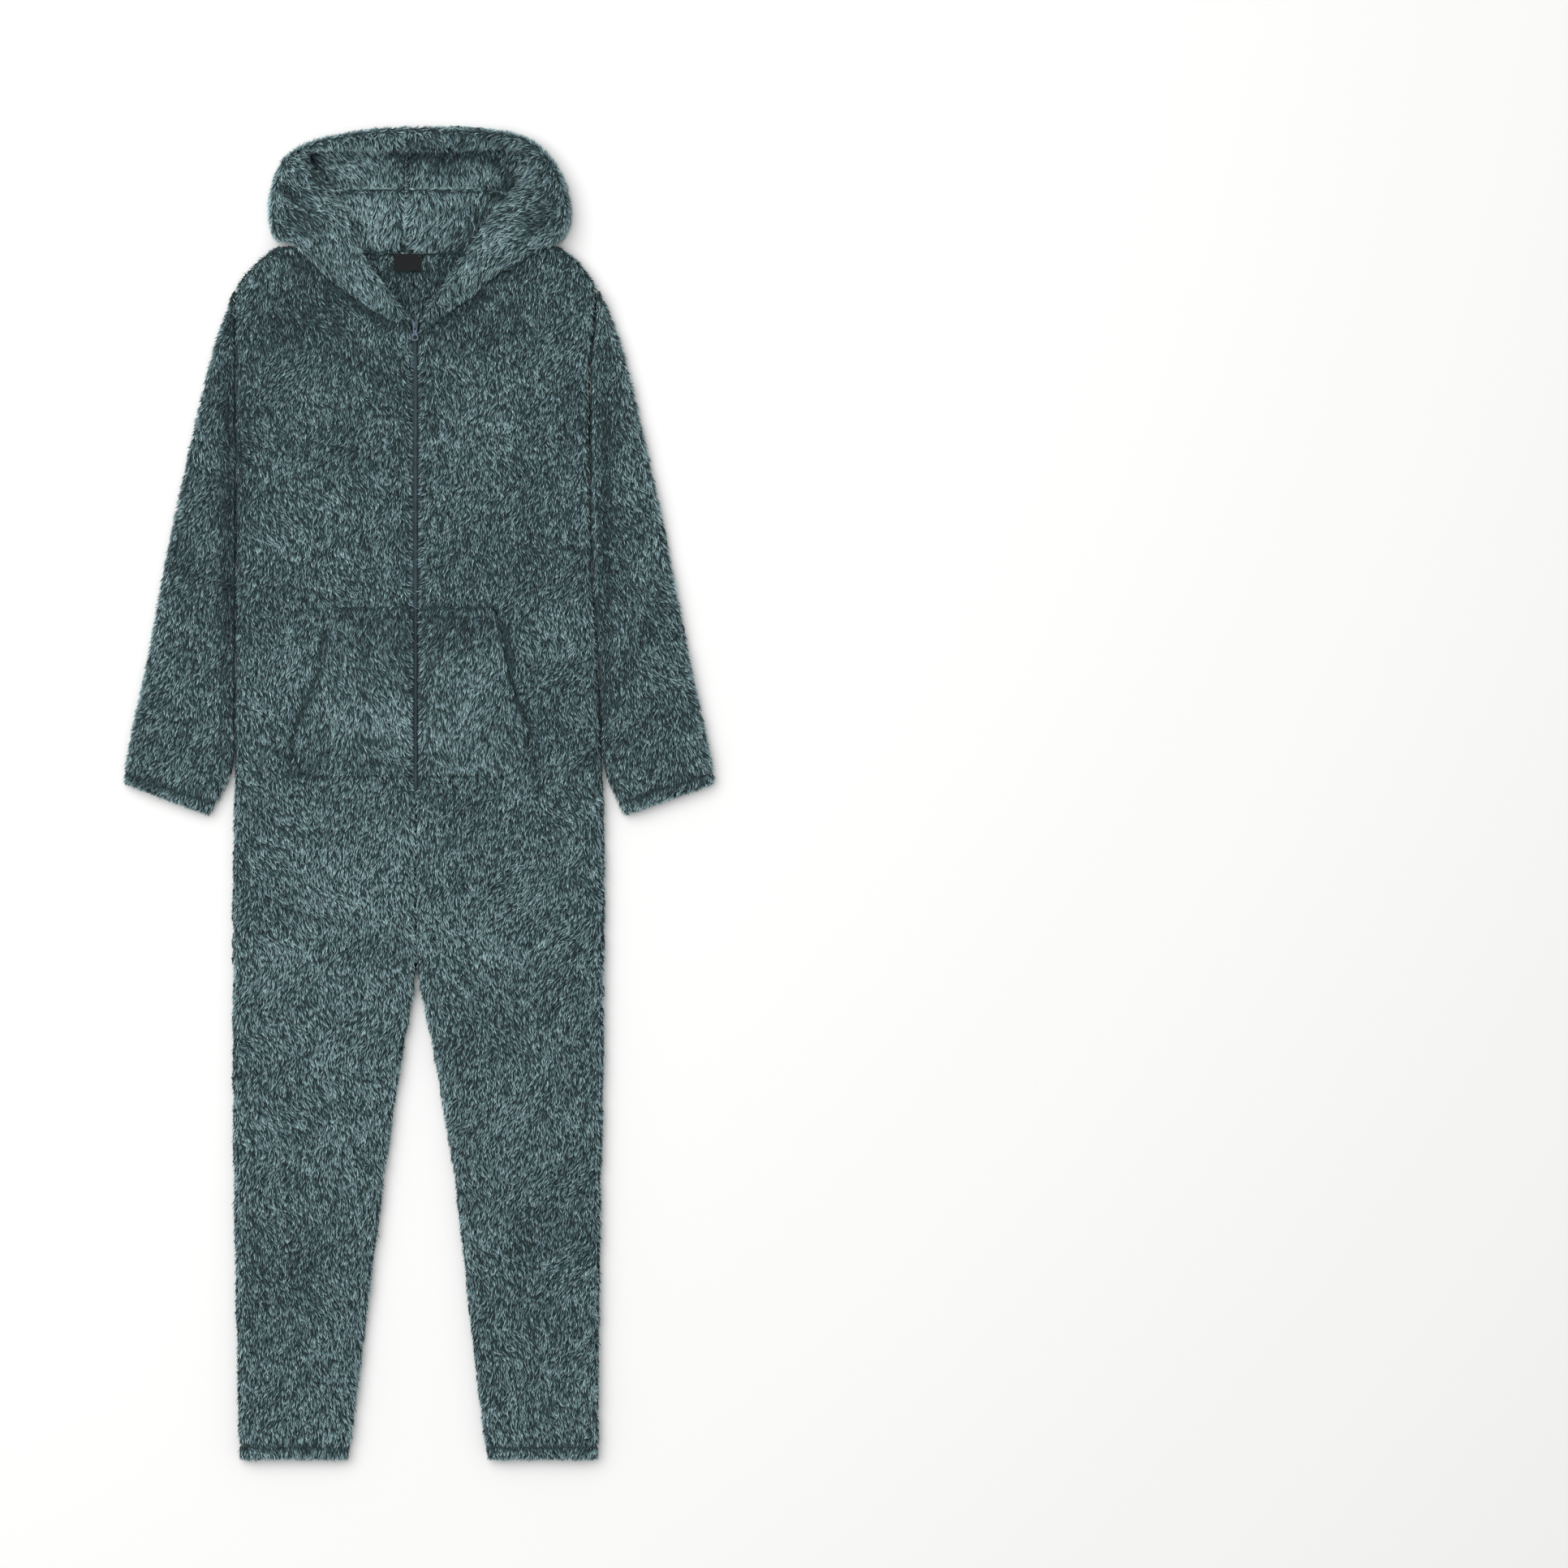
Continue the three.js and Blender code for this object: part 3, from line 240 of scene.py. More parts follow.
def makeSatinMaterial(s):
    # woven satin label: close threads across it, 0.5 mm apart, with a low sheen
    material, shader = newMaterial("woven satin label", {
        "Roughness": 0.6, "IOR": 1.45, "Specular IOR Level": 0.2,
        "Sheen Weight": 0.02, "Sheen Roughness": 0.4})
    place = addNode(material, "ShaderNodeTexCoord")
    weave = addNode(material, "ShaderNodeTexWave", {"Scale": 1000 / 1.0 / math.tau, "bands_direction": "Y"},
                    {"Vector": place.outputs["Object"]})
    shade = colourRamp(material, weave.outputs["Fac"], [(0.3, s["satin"]), (0.8, s["satinLight"])])
    bump = addNode(material, "ShaderNodeBump", {"Strength": 0.3, "Distance": mm(0.15)},
                   {"Height": weave.outputs["Fac"]})
    material.node_tree.links.new(shade.outputs["Color"], shader.inputs["Base Color"])
    material.node_tree.links.new(bump.outputs["Normal"], shader.inputs["Normal"])
    return material


def makeThreadMaterial(s):
    # spun polyester sewing thread, two plies twisted 1.2 mm to the turn
    material, shader = newMaterial("spun polyester thread", {"Roughness": 0.65, "IOR": 1.5})
    place = addNode(material, "ShaderNodeTexCoord")
    twist = addNode(material, "ShaderNodeTexWave",
                    {"Scale": 1000 / 1.2 / math.tau, "bands_direction": "DIAGONAL"},
                    {"Vector": place.outputs["Object"]})
    shade = colourRamp(material, twist.outputs["Fac"], [(0.2, s["tape"]), (0.8, s["thread"])])
    material.node_tree.links.new(shade.outputs["Color"], shader.inputs["Base Color"])
    return material


pileMaterial = makePileMaterial(pileColours)
groundMaterial = makeGroundMaterial(pileColours)
tapeMaterial = makeTapeMaterial(zipColours)
coilMaterial = makeCoilMaterial(zipColours)
paintMaterial = makePaintMaterial(zipColours)
satinMaterial = makeSatinMaterial(zipColours)
threadMaterial = makeThreadMaterial(zipColours)
print("materials made")


# the pieces' surfaces: each is its CAD solid, refined and smoothed

def arraysOf(mesh):
    mesh.calc_loop_triangles()
    points = np.empty(len(mesh.vertices) * 3, np.float32)
    mesh.vertices.foreach_get("co", points)
    triangles = np.empty(len(mesh.loop_triangles) * 3, np.int32)
    mesh.loop_triangles.foreach_get("vertices", triangles)
    return points.reshape(-1, 3).astype(float), triangles.reshape(-1, 3)


def treeOf(points, triangles):
    return BVHTree.FromPolygons(points.tolist(), triangles.tolist(), all_triangles=True)


def pointNormals(points, triangles):
    a, b, c = (points[triangles[:, i]] for i in range(3))
    facing = np.cross(b - a, c - a)
    normals = np.zeros_like(points)
    for i in range(3):
        np.add.at(normals, triangles[:, i], facing)
    return unit(normals)


def unit(vectors):
    return vectors / np.maximum(np.linalg.norm(vectors, axis=1, keepdims=True), 1e-9)


refineSettings = {
    "merge": 0.02,
    "edge": 15,              # longer edges are split
    "rounds": 2,
    "smoothing": 8,          # passes, each a step in and a smaller one out
    "stepIn": 0.5,
    "stepOut": -0.52,
    "flatBelow": 0.6,        # what lies on the floor stays flat
    "seamReach": 0.5,
}


centreSeamX = -4.02
hoodSeamX = -18.02

# soft creases in the cloth, besides those that the solids have. turn: the way it runs, in degrees from
# across the garment; deep is negative where it is a ridge
creases = [
    {"on": "pocket_right", "x": -62, "y": 74, "turn": 6, "half": 42, "wide": 7, "deep": 2.6},
    {"on": "pocket_right", "x": -112, "y": 62, "turn": 32, "half": 30, "wide": 9, "deep": 1.8},
    {"on": "pocket_left", "x": 122, "y": 66, "turn": 48, "half": 26, "wide": 7, "deep": 2.4},
    {"on": "pocket_left", "x": 96, "y": 44, "turn": 20, "half": 20, "wide": 6, "deep": 1.6},
    {"on": "front_right", "x": -168, "y": 48, "turn": 80, "half": 34, "wide": 14, "deep": 2.6},
    {"on": "front_left", "x": 60, "y": 2, "turn": -8, "half": 60, "wide": 15, "deep": 2.2},
    {"on": "front_left", "x": 160, "y": 330, "turn": 72, "half": 90, "wide": 20, "deep": 1.6},
    {"on": "front_right", "x": -120, "y": 560, "turn": -58, "half": 80, "wide": 20, "deep": 1.5},
    {"on": "front_right", "x": -150, "y": -560, "turn": 84, "half": 120, "wide": 22, "deep": 1.5},
    {"on": "front_left", "x": 200, "y": -330, "turn": -70, "half": 60, "wide": 18, "deep": 2.0},
    {"on": "front_left", "x": 150, "y": -640, "turn": 78, "half": 90, "wide": 20, "deep": 1.4},
    {"on": "sleeve_left", "x": 322, "y": 330, "turn": 62, "half": 60, "wide": 15, "deep": 2.0},
    {"on": "sleeve_left", "x": 345, "y": 196, "turn": 55, "half": 50, "wide": 14, "deep": 1.9},
    {"on": "sleeve_left", "x": 330, "y": 92, "turn": 40, "half": 42, "wide": 13, "deep": 1.5},
    {"on": "sleeve_right", "x": -318, "y": 250, "turn": -64, "half": 60, "wide": 15, "deep": 1.6},
    {"on": "sleeve_right", "x": -300, "y": 420, "turn": -80, "half": 50, "wide": 14, "deep": 1.4},
    {"on": "hood_right", "x": -120, "y": 812, "turn": -62, "half": 28, "wide": 7, "deep": 2.2},
    {"on": "hood_right", "x": -166, "y": 752, "turn": 58, "half": 30, "wide": 12, "deep": 2.4},
    {"on": "hood_left", "x": 118, "y": 800, "turn": 60, "half": 26, "wide": 8, "deep": 2.0},
    {"on": "hood_left", "x": 160, "y": 740, "turn": 42, "half": 32, "wide": 11, "deep": 2.2},
    {"on": "back_left", "x": 110, "y": 300, "turn": 82, "half": 160, "wide": 24, "deep": 1.5},
    {"on": "back_right", "x": -130, "y": 60, "turn": -74, "half": 150, "wide": 24, "deep": 1.5},
    {"on": "back_left", "x": 160, "y": -480, "turn": 86, "half": 150, "wide": 22, "deep": 1.4},
    {"on": "back_right", "x": -120, "y": -560, "turn": -80, "half": 130, "wide": 22, "deep": 1.4},
]


def creaseDepth(piece, x, y):
    depth = np.zeros(len(x))
    for c in creases:
        if c["on"] != piece:
            continue
        turn = math.radians(c["turn"])
        dx, dy = x - mm(c["x"]), y - mm(c["y"])
        along = (dx * math.cos(turn) + dy * math.sin(turn)) / mm(c["half"])
        across = (dy * math.cos(turn) - dx * math.sin(turn)) / mm(c["wide"])
        depth += mm(c["deep"]) * np.exp(-1.4 * along ** 2 - across ** 2)
    return depth


def refinedMesh(name, node, seamX, s=refineSettings):
    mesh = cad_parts[node].data.copy()
    mesh.name = name
    bm = bmesh.new()
    bm.from_mesh(mesh)
    bmesh.ops.remove_doubles(bm, verts=bm.verts, dist=mm(s["merge"]))
    for _ in range(s["rounds"]):
        longEdges = [edge for edge in bm.edges if edge.calc_length() > mm(s["edge"])]
        bmesh.ops.subdivide_edges(bm, edges=longEdges, cuts=1)
        bmesh.ops.triangulate(bm, faces=bm.faces)
    bm.to_mesh(mesh)
    bm.free()
    points, triangles = arraysOf(mesh)
    edges = np.empty(len(mesh.edges) * 2, np.int32)
    mesh.edges.foreach_get("vertices", edges)
    edges = edges.reshape(-1, 2)
    lying = points[:, 2] < mm(s["flatBelow"])
    sewn = np.zeros(len(points), bool)      # a seam's edge stays where it is, against its neighbour
    if seamX is not None:
        sewn = np.abs(points[:, 0] - mm(seamX)) < mm(s["seamReach"])
    count = np.bincount(edges.ravel(), minlength=len(points))[:, None]
    for step in [s["stepIn"], s["stepOut"]] * s["smoothing"]:
        total = np.zeros_like(points)
        np.add.at(total, edges[:, 0], points[edges[:, 1]])
        np.add.at(total, edges[:, 1], points[edges[:, 0]])
        move = step * (total / np.maximum(count, 1) - points)
        move[lying, 2] = 0
        move[sewn] = 0
        points = points + move
    normals = pointNormals(points, triangles)
    flattened = np.where(sewn & (np.abs(normals[:, 2]) > 0.2), 0, normals[:, 0])
    normals = unit(np.column_stack([flattened, normals[:, 1], normals[:, 2]]))
    depth = creaseDepth(node, points[:, 0], points[:, 1])
    facing = np.where(lying, -1, normals[:, 2] > 0.3) if node.startswith("back") else normals[:, 2] > 0.3
    points[:, 2] -= depth * facing
    points[:, 2] = np.maximum(points[:, 2], 0)
    return mesh, points, triangles, normals


# what lies against a piece hides it, so no pile is set there

def solidsTree():
    allPoints, allTriangles, owners, start = [], [], [], 0
    for name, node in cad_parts.items():
        points, triangles = arraysOf(node.data)
        allPoints.append(points)
        allTriangles.append(triangles + start)
        owners += [name] * len(triangles)
        start += len(points)
    return treeOf(np.concatenate(allPoints), np.concatenate(allTriangles)), owners


solids, solidOwners = solidsTree()
coverSettings = {"leave": 1.0, "own": 0.8, "near": 7.0, "hoodNear": 2.5, "reach": 60.0}


def isCovered(node, point, normal, s=coverSettings):
    start = Vector(point) + Vector(normal) * mm(s["leave"])
    direction = Vector(normal)
    gone = 0
    for _ in range(4):
        hit, facing, index, distance = solids.ray_cast(start, direction, mm(s["reach"]))
        if hit is None:
            return False
        gone += distance
        if facing.dot(direction) < 0:
            return gone < mm(s["hoodNear"] if node.startswith("hood") else s["near"])
        if solidOwners[index] != node and distance > mm(s["own"]):
            return True          # it began inside a neighbour
        start = hit + direction * mm(0.15)
    return False


# the lay of the pile: mostly brushed down the garment, with swirls

turnSeed = 11
toneSeed = 5
turnSettings = [             # wavelength in mm, how many waves, and how far they turn the hairs, in degrees
    {"wavelength": 260, "waves": 5, "size": 10},
    {"wavelength": 95, "waves": 6, "size": 10},
    {"wavelength": 34, "waves": 8, "size": 8},
    {"wavelength": 15, "waves": 8, "size": 7},
]
toneSettings = [
    {"wavelength": 420, "waves": 5, "size": 0.035},
    {"wavelength": 150, "waves": 6, "size": 0.045},
    {"wavelength": 55, "waves": 8, "size": 0.03},
    {"wavelength": 22, "waves": 8, "size": 0.035},
]


def makeWaves(seed, settings):
    generator = np.random.default_rng(seed)
    waves = []
    for s in settings:
        for _ in range(s["waves"]):
            heading = generator.uniform(0, math.tau)
            number = math.tau / (mm(s["wavelength"]) * generator.uniform(0.7, 1.4))
            size = s["size"] * math.sqrt(2 / s["waves"])
            waves.append((math.cos(heading) * number, math.sin(heading) * number,
                          generator.uniform(0, math.tau), size))
    return waves


def waveSum(waves, points):
    total = np.zeros(len(points))
    for alongX, alongY, phase, size in waves:
        total += size * np.sin(points[:, 0] * alongX + points[:, 1] * alongY + points[:, 2] * 90 + phase)
    return total


turnWaves = makeWaves(turnSeed, turnSettings)
toneWaves = makeWaves(toneSeed, toneSettings)

# seams and hems, where the pile is caught down: points along each, in mm
seams = [
    {"on": ["front_left", "back_left"], "wide": 3.0, "dark": 0.5, "low": 0.9,
     "line": [(85, -859.5), (245, -859.5)]},
    {"on": ["front_right", "back_right"], "wide": 3.2, "dark": 0.34, "low": 0.8,
     "line": [(-245, -859.5), (-85, -859.5)]},
    {"on": ["sleeve_left"], "wide": 3.4, "dark": 0.8, "low": 0.9,
     "line": [(252, -14), (398, 33)]},
    {"on": ["sleeve_right"], "wide": 3.4, "dark": 0.8, "low": 0.9,
     "line": [(-258, -14), (-396, 33)]},
    {"on": ["pocket_left", "pocket_right"], "wide": 2.2, "dark": 0.34, "low": 0.7,
     "line": [(-130, 236), (130, 236)]},
    {"on": ["front_left", "front_right"], "wide": 2.8, "dark": 0.4, "low": 0.8,
     "line": [(-116, 246), (106, 246)]},
    {"on": ["hood_left", "hood_right"], "wide": 2.6, "dark": 0.16, "low": 0.1,
     "line": [(-18, 716), (-18, 872)]},
    {"on": ["hood_left", "hood_right"], "wide": 2.2, "dark": 0.3, "low": 0.6,
     "line": [(-90, 713), (90, 713)]},
    {"on": ["back_left", "back_right"], "wide": 2.2, "dark": 0.22, "low": 0.4,
     "line": [(-4, -232), (-4, 560)]},
    {"on": ["back_right"], "wide": 1.8, "dark": 0.26, "low": 0.5,
     "line": [(-17, 560), (-17, 690)]},
    {"on": ["front_left", "front_right"], "wide": 1.8, "dark": 0.1, "low": 0.2,
     "line": [(-4, -232), (-4, 4)]},
]

# shade, and shorter pile, outside the pockets' open mouths, under the collar and the hood's lobes, in the
# hood's groove, and where the sleeves' tops meet the shoulders
edgeShade = [
    {"on": ["front_right"], "wide": 5.0, "dark": 0.5, "low": 0.6,
     "line": [(-122, 238), (-126, 199), (-133, 163), (-146, 127)]},
    {"on": ["front_right", "pocket_right"], "wide": 4.6, "dark": 1.2, "low": 0.95,
     "line": [(-135, 158), (-141, 142), (-149, 122), (-158, 102)]},
    {"on": ["front_right", "pocket_right"], "wide": 3.4, "dark": 0.6, "low": 0.6,
     "line": [(-158, 102), (-168, 70), (-170, 48)]},
    {"on": ["front_left"], "wide": 7.0, "dark": 1.6, "low": 1.0,
     "line": [(112, 220), (116, 203), (120, 172)]},
    {"on": ["front_left", "pocket_left"], "wide": 3.8, "dark": 1.3, "low": 0.95,
     "line": [(114, 206), (119, 172), (127, 142), (135, 116)]},
    {"on": ["front_left", "pocket_left"], "wide": 3.2, "dark": 0.6, "low": 0.5,
     "line": [(136, 114), (147, 88), (141, 62), (130, 48)]},
    {"on": ["pocket_right"], "wide": 3.4, "dark": 0.7, "low": 0.6,
     "line": [(-68, 73), (-58, 67), (-49, 64), (-34, 66)]},
    {"on": ["front_right"], "wide": 6.5, "dark": 0.55, "low": 0.7,
     "line": [(-108, 664), (-86, 650), (-64, 636), (-48, 627)]},
    {"on": ["front_right"], "wide": 4.0, "dark": 0.35, "low": 0.5,
     "line": [(-48, 627), (-30, 615), (-14, 619)]},
    {"on": ["front_left"], "wide": 4.5, "dark": 0.4, "low": 0.5,
     "line": [(14, 611), (26, 612), (48, 632), (78, 649), (104, 664)]},
    {"on": ["sleeve_right"], "wide": 5.0, "dark": 0.3, "low": 1.0,
     "line": [(-249, 662), (-240, 664)]},
    {"on": ["sleeve_left"], "wide": 5.0, "dark": 0.3, "low": 1.0,
     "line": [(236, 660), (246, 656)]},
    {"on": ["front_right"], "wide": 13, "dark": 0.42, "low": 0.1,
     "line": [(-180, 716), (-144, 694), (-104, 668)]},
    {"on": ["front_left"], "wide": 10, "dark": 0.2, "low": 0.1,
     "line": [(180, 716), (144, 700), (104, 672)]},
    {"on": ["hood_left", "hood_right"], "wide": 9.0, "dark": 0.4, "low": 0.15,
     "line": [(-34, 848), (20, 847), (76, 845), (118, 834), (127, 806)]},
    {"on": ["hood_right"], "wide": 5.0, "dark": 0.36, "low": 0.2,
     "line": [(-146, 838), (-142, 822), (-130, 794)]},
    {"on": ["hood_right"], "wide": 5.5, "dark": 0.6, "low": 0.5,
     "line": [(-178, 802), (-169, 790), (-160, 780)]},
    {"on": ["hood_left"], "wide": 8.0, "dark": 0.34, "low": 0.4,
     "line": [(150, 742), (163, 762), (180, 786)]},
]

# soft patches of painted light and painted shade on the pile, for the cloth's rises and for the shade under
# its folds, lobes and edges. turn: degrees
paintedShadingPatches = [
    {"x": -168, "y": 640, "wide": 90, "high": 56, "turn": 20, "tone": -0.22},
    {"x": -60, "y": 560, "wide": 95, "high": 26, "turn": -52, "tone": -0.14},
    {"x": 150, "y": 615, "wide": 100, "high": 45, "turn": -15, "tone": -0.1},
    {"x": 70, "y": 470, "wide": 50, "high": 110, "turn": -12, "tone": 0.12},
    {"x": -120, "y": 380, "wide": 90, "high": 90, "turn": 0, "tone": 0.06},
    {"x": 170, "y": 300, "wide": 40, "high": 90, "turn": -30, "tone": -0.1},
    {"x": 60, "y": -4, "wide": 70, "high": 22, "turn": 0, "tone": -0.16},
    {"x": -160, "y": 40, "wide": 20, "high": 26, "turn": 0, "tone": -0.26},
    {"x": -175, "y": -560, "wide": 60, "high": 130, "turn": 0, "tone": -0.1},
    {"x": 175, "y": -640, "wide": 60, "high": 120, "turn": 0, "tone": -0.08},
    {"x": 0, "y": 430, "wide": 260, "high": 240, "turn": 0, "tone": -0.07},
    {"x": 0, "y": -480, "wide": 300, "high": 400, "turn": 0, "tone": 0.1},
    {"x": -110, "y": -70, "wide": 120, "high": 90, "turn": 0, "tone": 0.1},
    {"x": 110, "y": -150, "wide": 100, "high": 100, "turn": 0, "tone": 0.09},
    {"x": -100, "y": -420, "wide": 50, "high": 150, "turn": 0, "tone": 0.06},
    {"x": 120, "y": -420, "wide": 50, "high": 120, "turn": 0, "tone": 0.05},
    {"x": -70, "y": 214, "wide": 50, "high": 24, "turn": 0, "tone": -0.24},
    {"x": -104, "y": 170, "wide": 14, "high": 50, "turn": -8, "tone": -0.2},
    {"x": 52, "y": 216, "wide": 56, "high": 22, "turn": 0, "tone": -0.26},
    {"x": -70, "y": 95, "wide": 60, "high": 34, "turn": 0, "tone": 0.2},
    {"x": 66, "y": 90, "wide": 56, "high": 60, "turn": 0, "tone": 0.14},
    {"x": 134, "y": 60, "wide": 10, "high": 20, "turn": 20, "tone": 0.24},
    {"x": 150, "y": 40, "wide": 10, "high": 34, "turn": 20, "tone": -0.3},
    {"x": -251, "y": 340, "wide": 11, "high": 260, "turn": 0, "tone": -0.6},
    {"x": 246, "y": 340, "wide": 11, "high": 250, "turn": 0, "tone": -0.5},
    {"x": -228, "y": 420, "wide": 10, "high": 160, "turn": 0, "tone": -0.2},
    {"x": 276, "y": 330, "wide": 10, "high": 60, "turn": -20, "tone": -0.22},
    {"x": 300, "y": 210, "wide": 12, "high": 60, "turn": -32, "tone": -0.26},
    {"x": 330, "y": 250, "wide": 14, "high": 60, "turn": -26, "tone": 0.14},
    {"x": 300, "y": 90, "wide": 14, "high": 40, "turn": -40, "tone": -0.16},
    {"x": -300, "y": 300, "wide": 14, "high": 70, "turn": 24, "tone": -0.16},
    {"x": -330, "y": 160, "wide": 14, "high": 60, "turn": 30, "tone": 0.1},
    {"x": -20, "y": 786, "wide": 210, "high": 90, "turn": 0, "tone": 0.16},
    {"x": -64, "y": 760, "wide": 36, "high": 44, "turn": 0, "tone": 0.12},
    {"x": 104, "y": 826, "wide": 26, "high": 9, "turn": 24, "tone": 0.16},
    {"x": 16, "y": 828, "wide": 58, "high": 13, "turn": 0, "tone": -0.34},
    {"x": -84, "y": 826, "wide": 34, "high": 18, "turn": 0, "tone": 0.08},
    {"x": 112, "y": 812, "wide": 20, "high": 30, "turn": -30, "tone": -0.5},
    {"x": 82, "y": 752, "wide": 14, "high": 54, "turn": -34, "tone": -0.46},
    {"x": 40, "y": 712, "wide": 18, "high": 40, "turn": -40, "tone": -0.24},
    {"x": -128, "y": 812, "wide": 9, "high": 34, "turn": 36, "tone": -0.42},
    {"x": -92, "y": 758, "wide": 9, "high": 44, "turn": 34, "tone": -0.22},
    {"x": -30, "y": 756, "wide": 70, "high": 30, "turn": 0, "tone": 0.12},
    {"x": -166, "y": 782, "wide": 20, "high": 34, "turn": 10, "tone": -0.3},
    {"x": -158, "y": 752, "wide": 30, "high": 20, "turn": 0, "tone": -0.2},
    {"x": -128, "y": 770, "wide": 9, "high": 60, "turn": 32, "tone": 0.16},
    {"x": 140, "y": 778, "wide": 10, "high": 46, "turn": -24, "tone": 0.2},
    {"x": 176, "y": 770, "wide": 18, "high": 34, "turn": -10, "tone": -0.22},
    {"x": 60, "y": 862, "wide": 60, "high": 9, "turn": -4, "tone": -0.2},
    {"x": 76, "y": 688, "wide": 60, "high": 14, "turn": 42, "tone": 0.16},
    {"x": -6, "y": 660, "wide": 34, "high": 30, "turn": 0, "tone": -0.16},
    {"x": 26, "y": 680, "wide": 12, "high": 30, "turn": -36, "tone": -0.22},
    {"x": -52, "y": 624, "wide": 14, "high": 7, "turn": -30, "tone": -0.3},
]

pileSettings = {
    "length": 8.6,
    "lengthSpread": 0.28,
    "width": 2.4,            # a tuft's width at its root
    "ridge": 0.62,           # its height, as a share of that
    "sink": 4.0,             # how far under the surface the ground of the cloth lies
    "groundShare": 0.4,      # but no deeper than this share of a thinner layer
    "leastRise": 3.2,
    "proud": 1.2,            # how far a hair may stand out from the surface
    "fringe": 4.2,           # and from the edges seen from above
    "topPerM2": 148000,
    "sidePerM2": 140000,
    "underPerM2": 50000,
    "underWiden": 1.8,
    "lock": 2.9,             # the ends gather in locks this far apart
    "gather": 0.44,
    "lockTone": 0.28,
    "tuftTone": 0.28,
    "bare": 0.85,            # where a seam or a mouth lies lowest, so many of the tufts are left out
    "sideRise": 3.2,         # and along the edges they stand up this much more
    "floorGap": 0.3,
    "touchSink": 1.2,        # and under it where the cloth lies against its neighbour
    "mapHalf": 0.02,         # a face's half width across its map
    "lean": 54,              # how far the hairs turn towards the zip, in degrees
    "leanFor": 10,
    "seamLean": 12,
    "zipBottom": 2,
    "slider": 586,           # above here they leave the slider free
}


def nearness(lines, piece, x, y, what):      # the strongest pull of any seam on these points
    total = np.zeros(len(x))
    for s in lines:
        if piece not in s["on"]:
            continue
        nearest = np.full(len(x), 1e9)
        for (x0, y0), (x1, y1) in zip(s["line"], s["line"][1:]):
            ax, ay, bx, by = mm(x0), mm(y0), mm(x1), mm(y1)
            along = ((x - ax) * (bx - ax) + (y - ay) * (by - ay)) / ((bx - ax) ** 2 + (by - ay) ** 2)
            along = np.clip(along, 0, 1)
            nearest = np.minimum(nearest, np.hypot(x - ax - along * (bx - ax), y - ay - along * (by - ay)))
        total = np.maximum(total, s[what] * np.exp(-(nearest / mm(s["wide"])) ** 2))
    return total


def paintedShadingTone(x, y):
    total = np.zeros(len(x))
    for p in paintedShadingPatches:
        turn = math.radians(p["turn"])
        dx, dy = x - mm(p["x"]), y - mm(p["y"])
        across = (dx * math.cos(turn) + dy * math.sin(turn)) / mm(p["wide"])
        along = (dy * math.cos(turn) - dx * math.sin(turn)) / mm(p["high"])
        total += p["tone"] * np.exp(-across ** 2 - along ** 2)
    return total


def hairHeading(piece, points, s=pileSettings):      # radians from +X
    x, y = points[:, 0], points[:, 1]
    if piece.startswith("hood"):
        aside = x - mm(hoodSeamX)
        turn = -42 * np.clip(x / 0.13, -1, 1)
        turn = turn - np.sign(aside) * s["lean"] * np.exp(-(aside / mm(s["leanFor"])) ** 2)
    elif piece.startswith("sleeve"):
        turn = np.where(x > 0, 17.0, -17.0)
    else:
        turn = -9 * np.clip(x / 0.2, -1, 1)
    if piece.startswith(("front", "pocket")):      # over the edge towards the zip
        aside = x - mm(centreSeamX)
        lean = np.where(y > mm(s["zipBottom"]), s["lean"], s["seamLean"])
        lean = np.where(y > mm(s["slider"]), 0, lean)
        turn = turn - np.sign(aside) * lean * np.exp(-((np.abs(aside) - mm(5)) / mm(s["leanFor"])) ** 2)
    return np.radians(-90 + turn)


def hashed(cellX, cellY, salt):     # the same number from 0 to 1 for the same cell
    value = np.sin(cellX * 127.1 + cellY * 311.7 + salt * 74.7) * 43758.5453
    return value - np.floor(value)


def nearestLock(x, y, size):
    cellX, cellY = np.floor(x / size), np.floor(y / size)
    bestX, bestY = np.zeros_like(x), np.zeros_like(y)
    bestTone = np.zeros_like(x)
    best = np.full_like(x, 1e9)
    for stepX in (-1, 0, 1):
        for stepY in (-1, 0, 1):
            lockX, lockY = cellX + stepX, cellY + stepY
            centreX = (lockX + hashed(lockX, lockY, 1)) * size
            centreY = (lockY + hashed(lockX, lockY, 2)) * size
            distance = (centreX - x) ** 2 + (centreY - y) ** 2
            nearer = distance < best
            best = np.where(nearer, distance, best)
            bestX = np.where(nearer, centreX, bestX)
            bestY = np.where(nearer, centreY, bestY)
            bestTone = np.where(nearer, hashed(lockX, lockY, 3), bestTone)
    return bestX, bestY, bestTone


def meshFromArrays(name, points, triangles):
    mesh = bpy.data.meshes.new(name)
    mesh.vertices.add(len(points))
    mesh.vertices.foreach_set("co", np.asarray(points, np.float32).ravel())
    mesh.loops.add(len(triangles) * 3)
    mesh.loops.foreach_set("vertex_index", np.asarray(triangles, np.int32).ravel())
    mesh.polygons.add(len(triangles))
    mesh.polygons.foreach_set("loop_start", np.arange(0, len(triangles) * 3, 3, dtype=np.int32))
    mesh.update(calc_edges=True)
    return mesh


def linkObject(name, mesh, material, smooth):
    piece = bpy.data.objects.new(name, mesh)
    bpy.context.scene.collection.objects.link(piece)
    mesh.materials.clear()
    mesh.materials.append(material)
    mesh.polygons.foreach_set("use_smooth", np.full(len(mesh.polygons), smooth))
    return piece


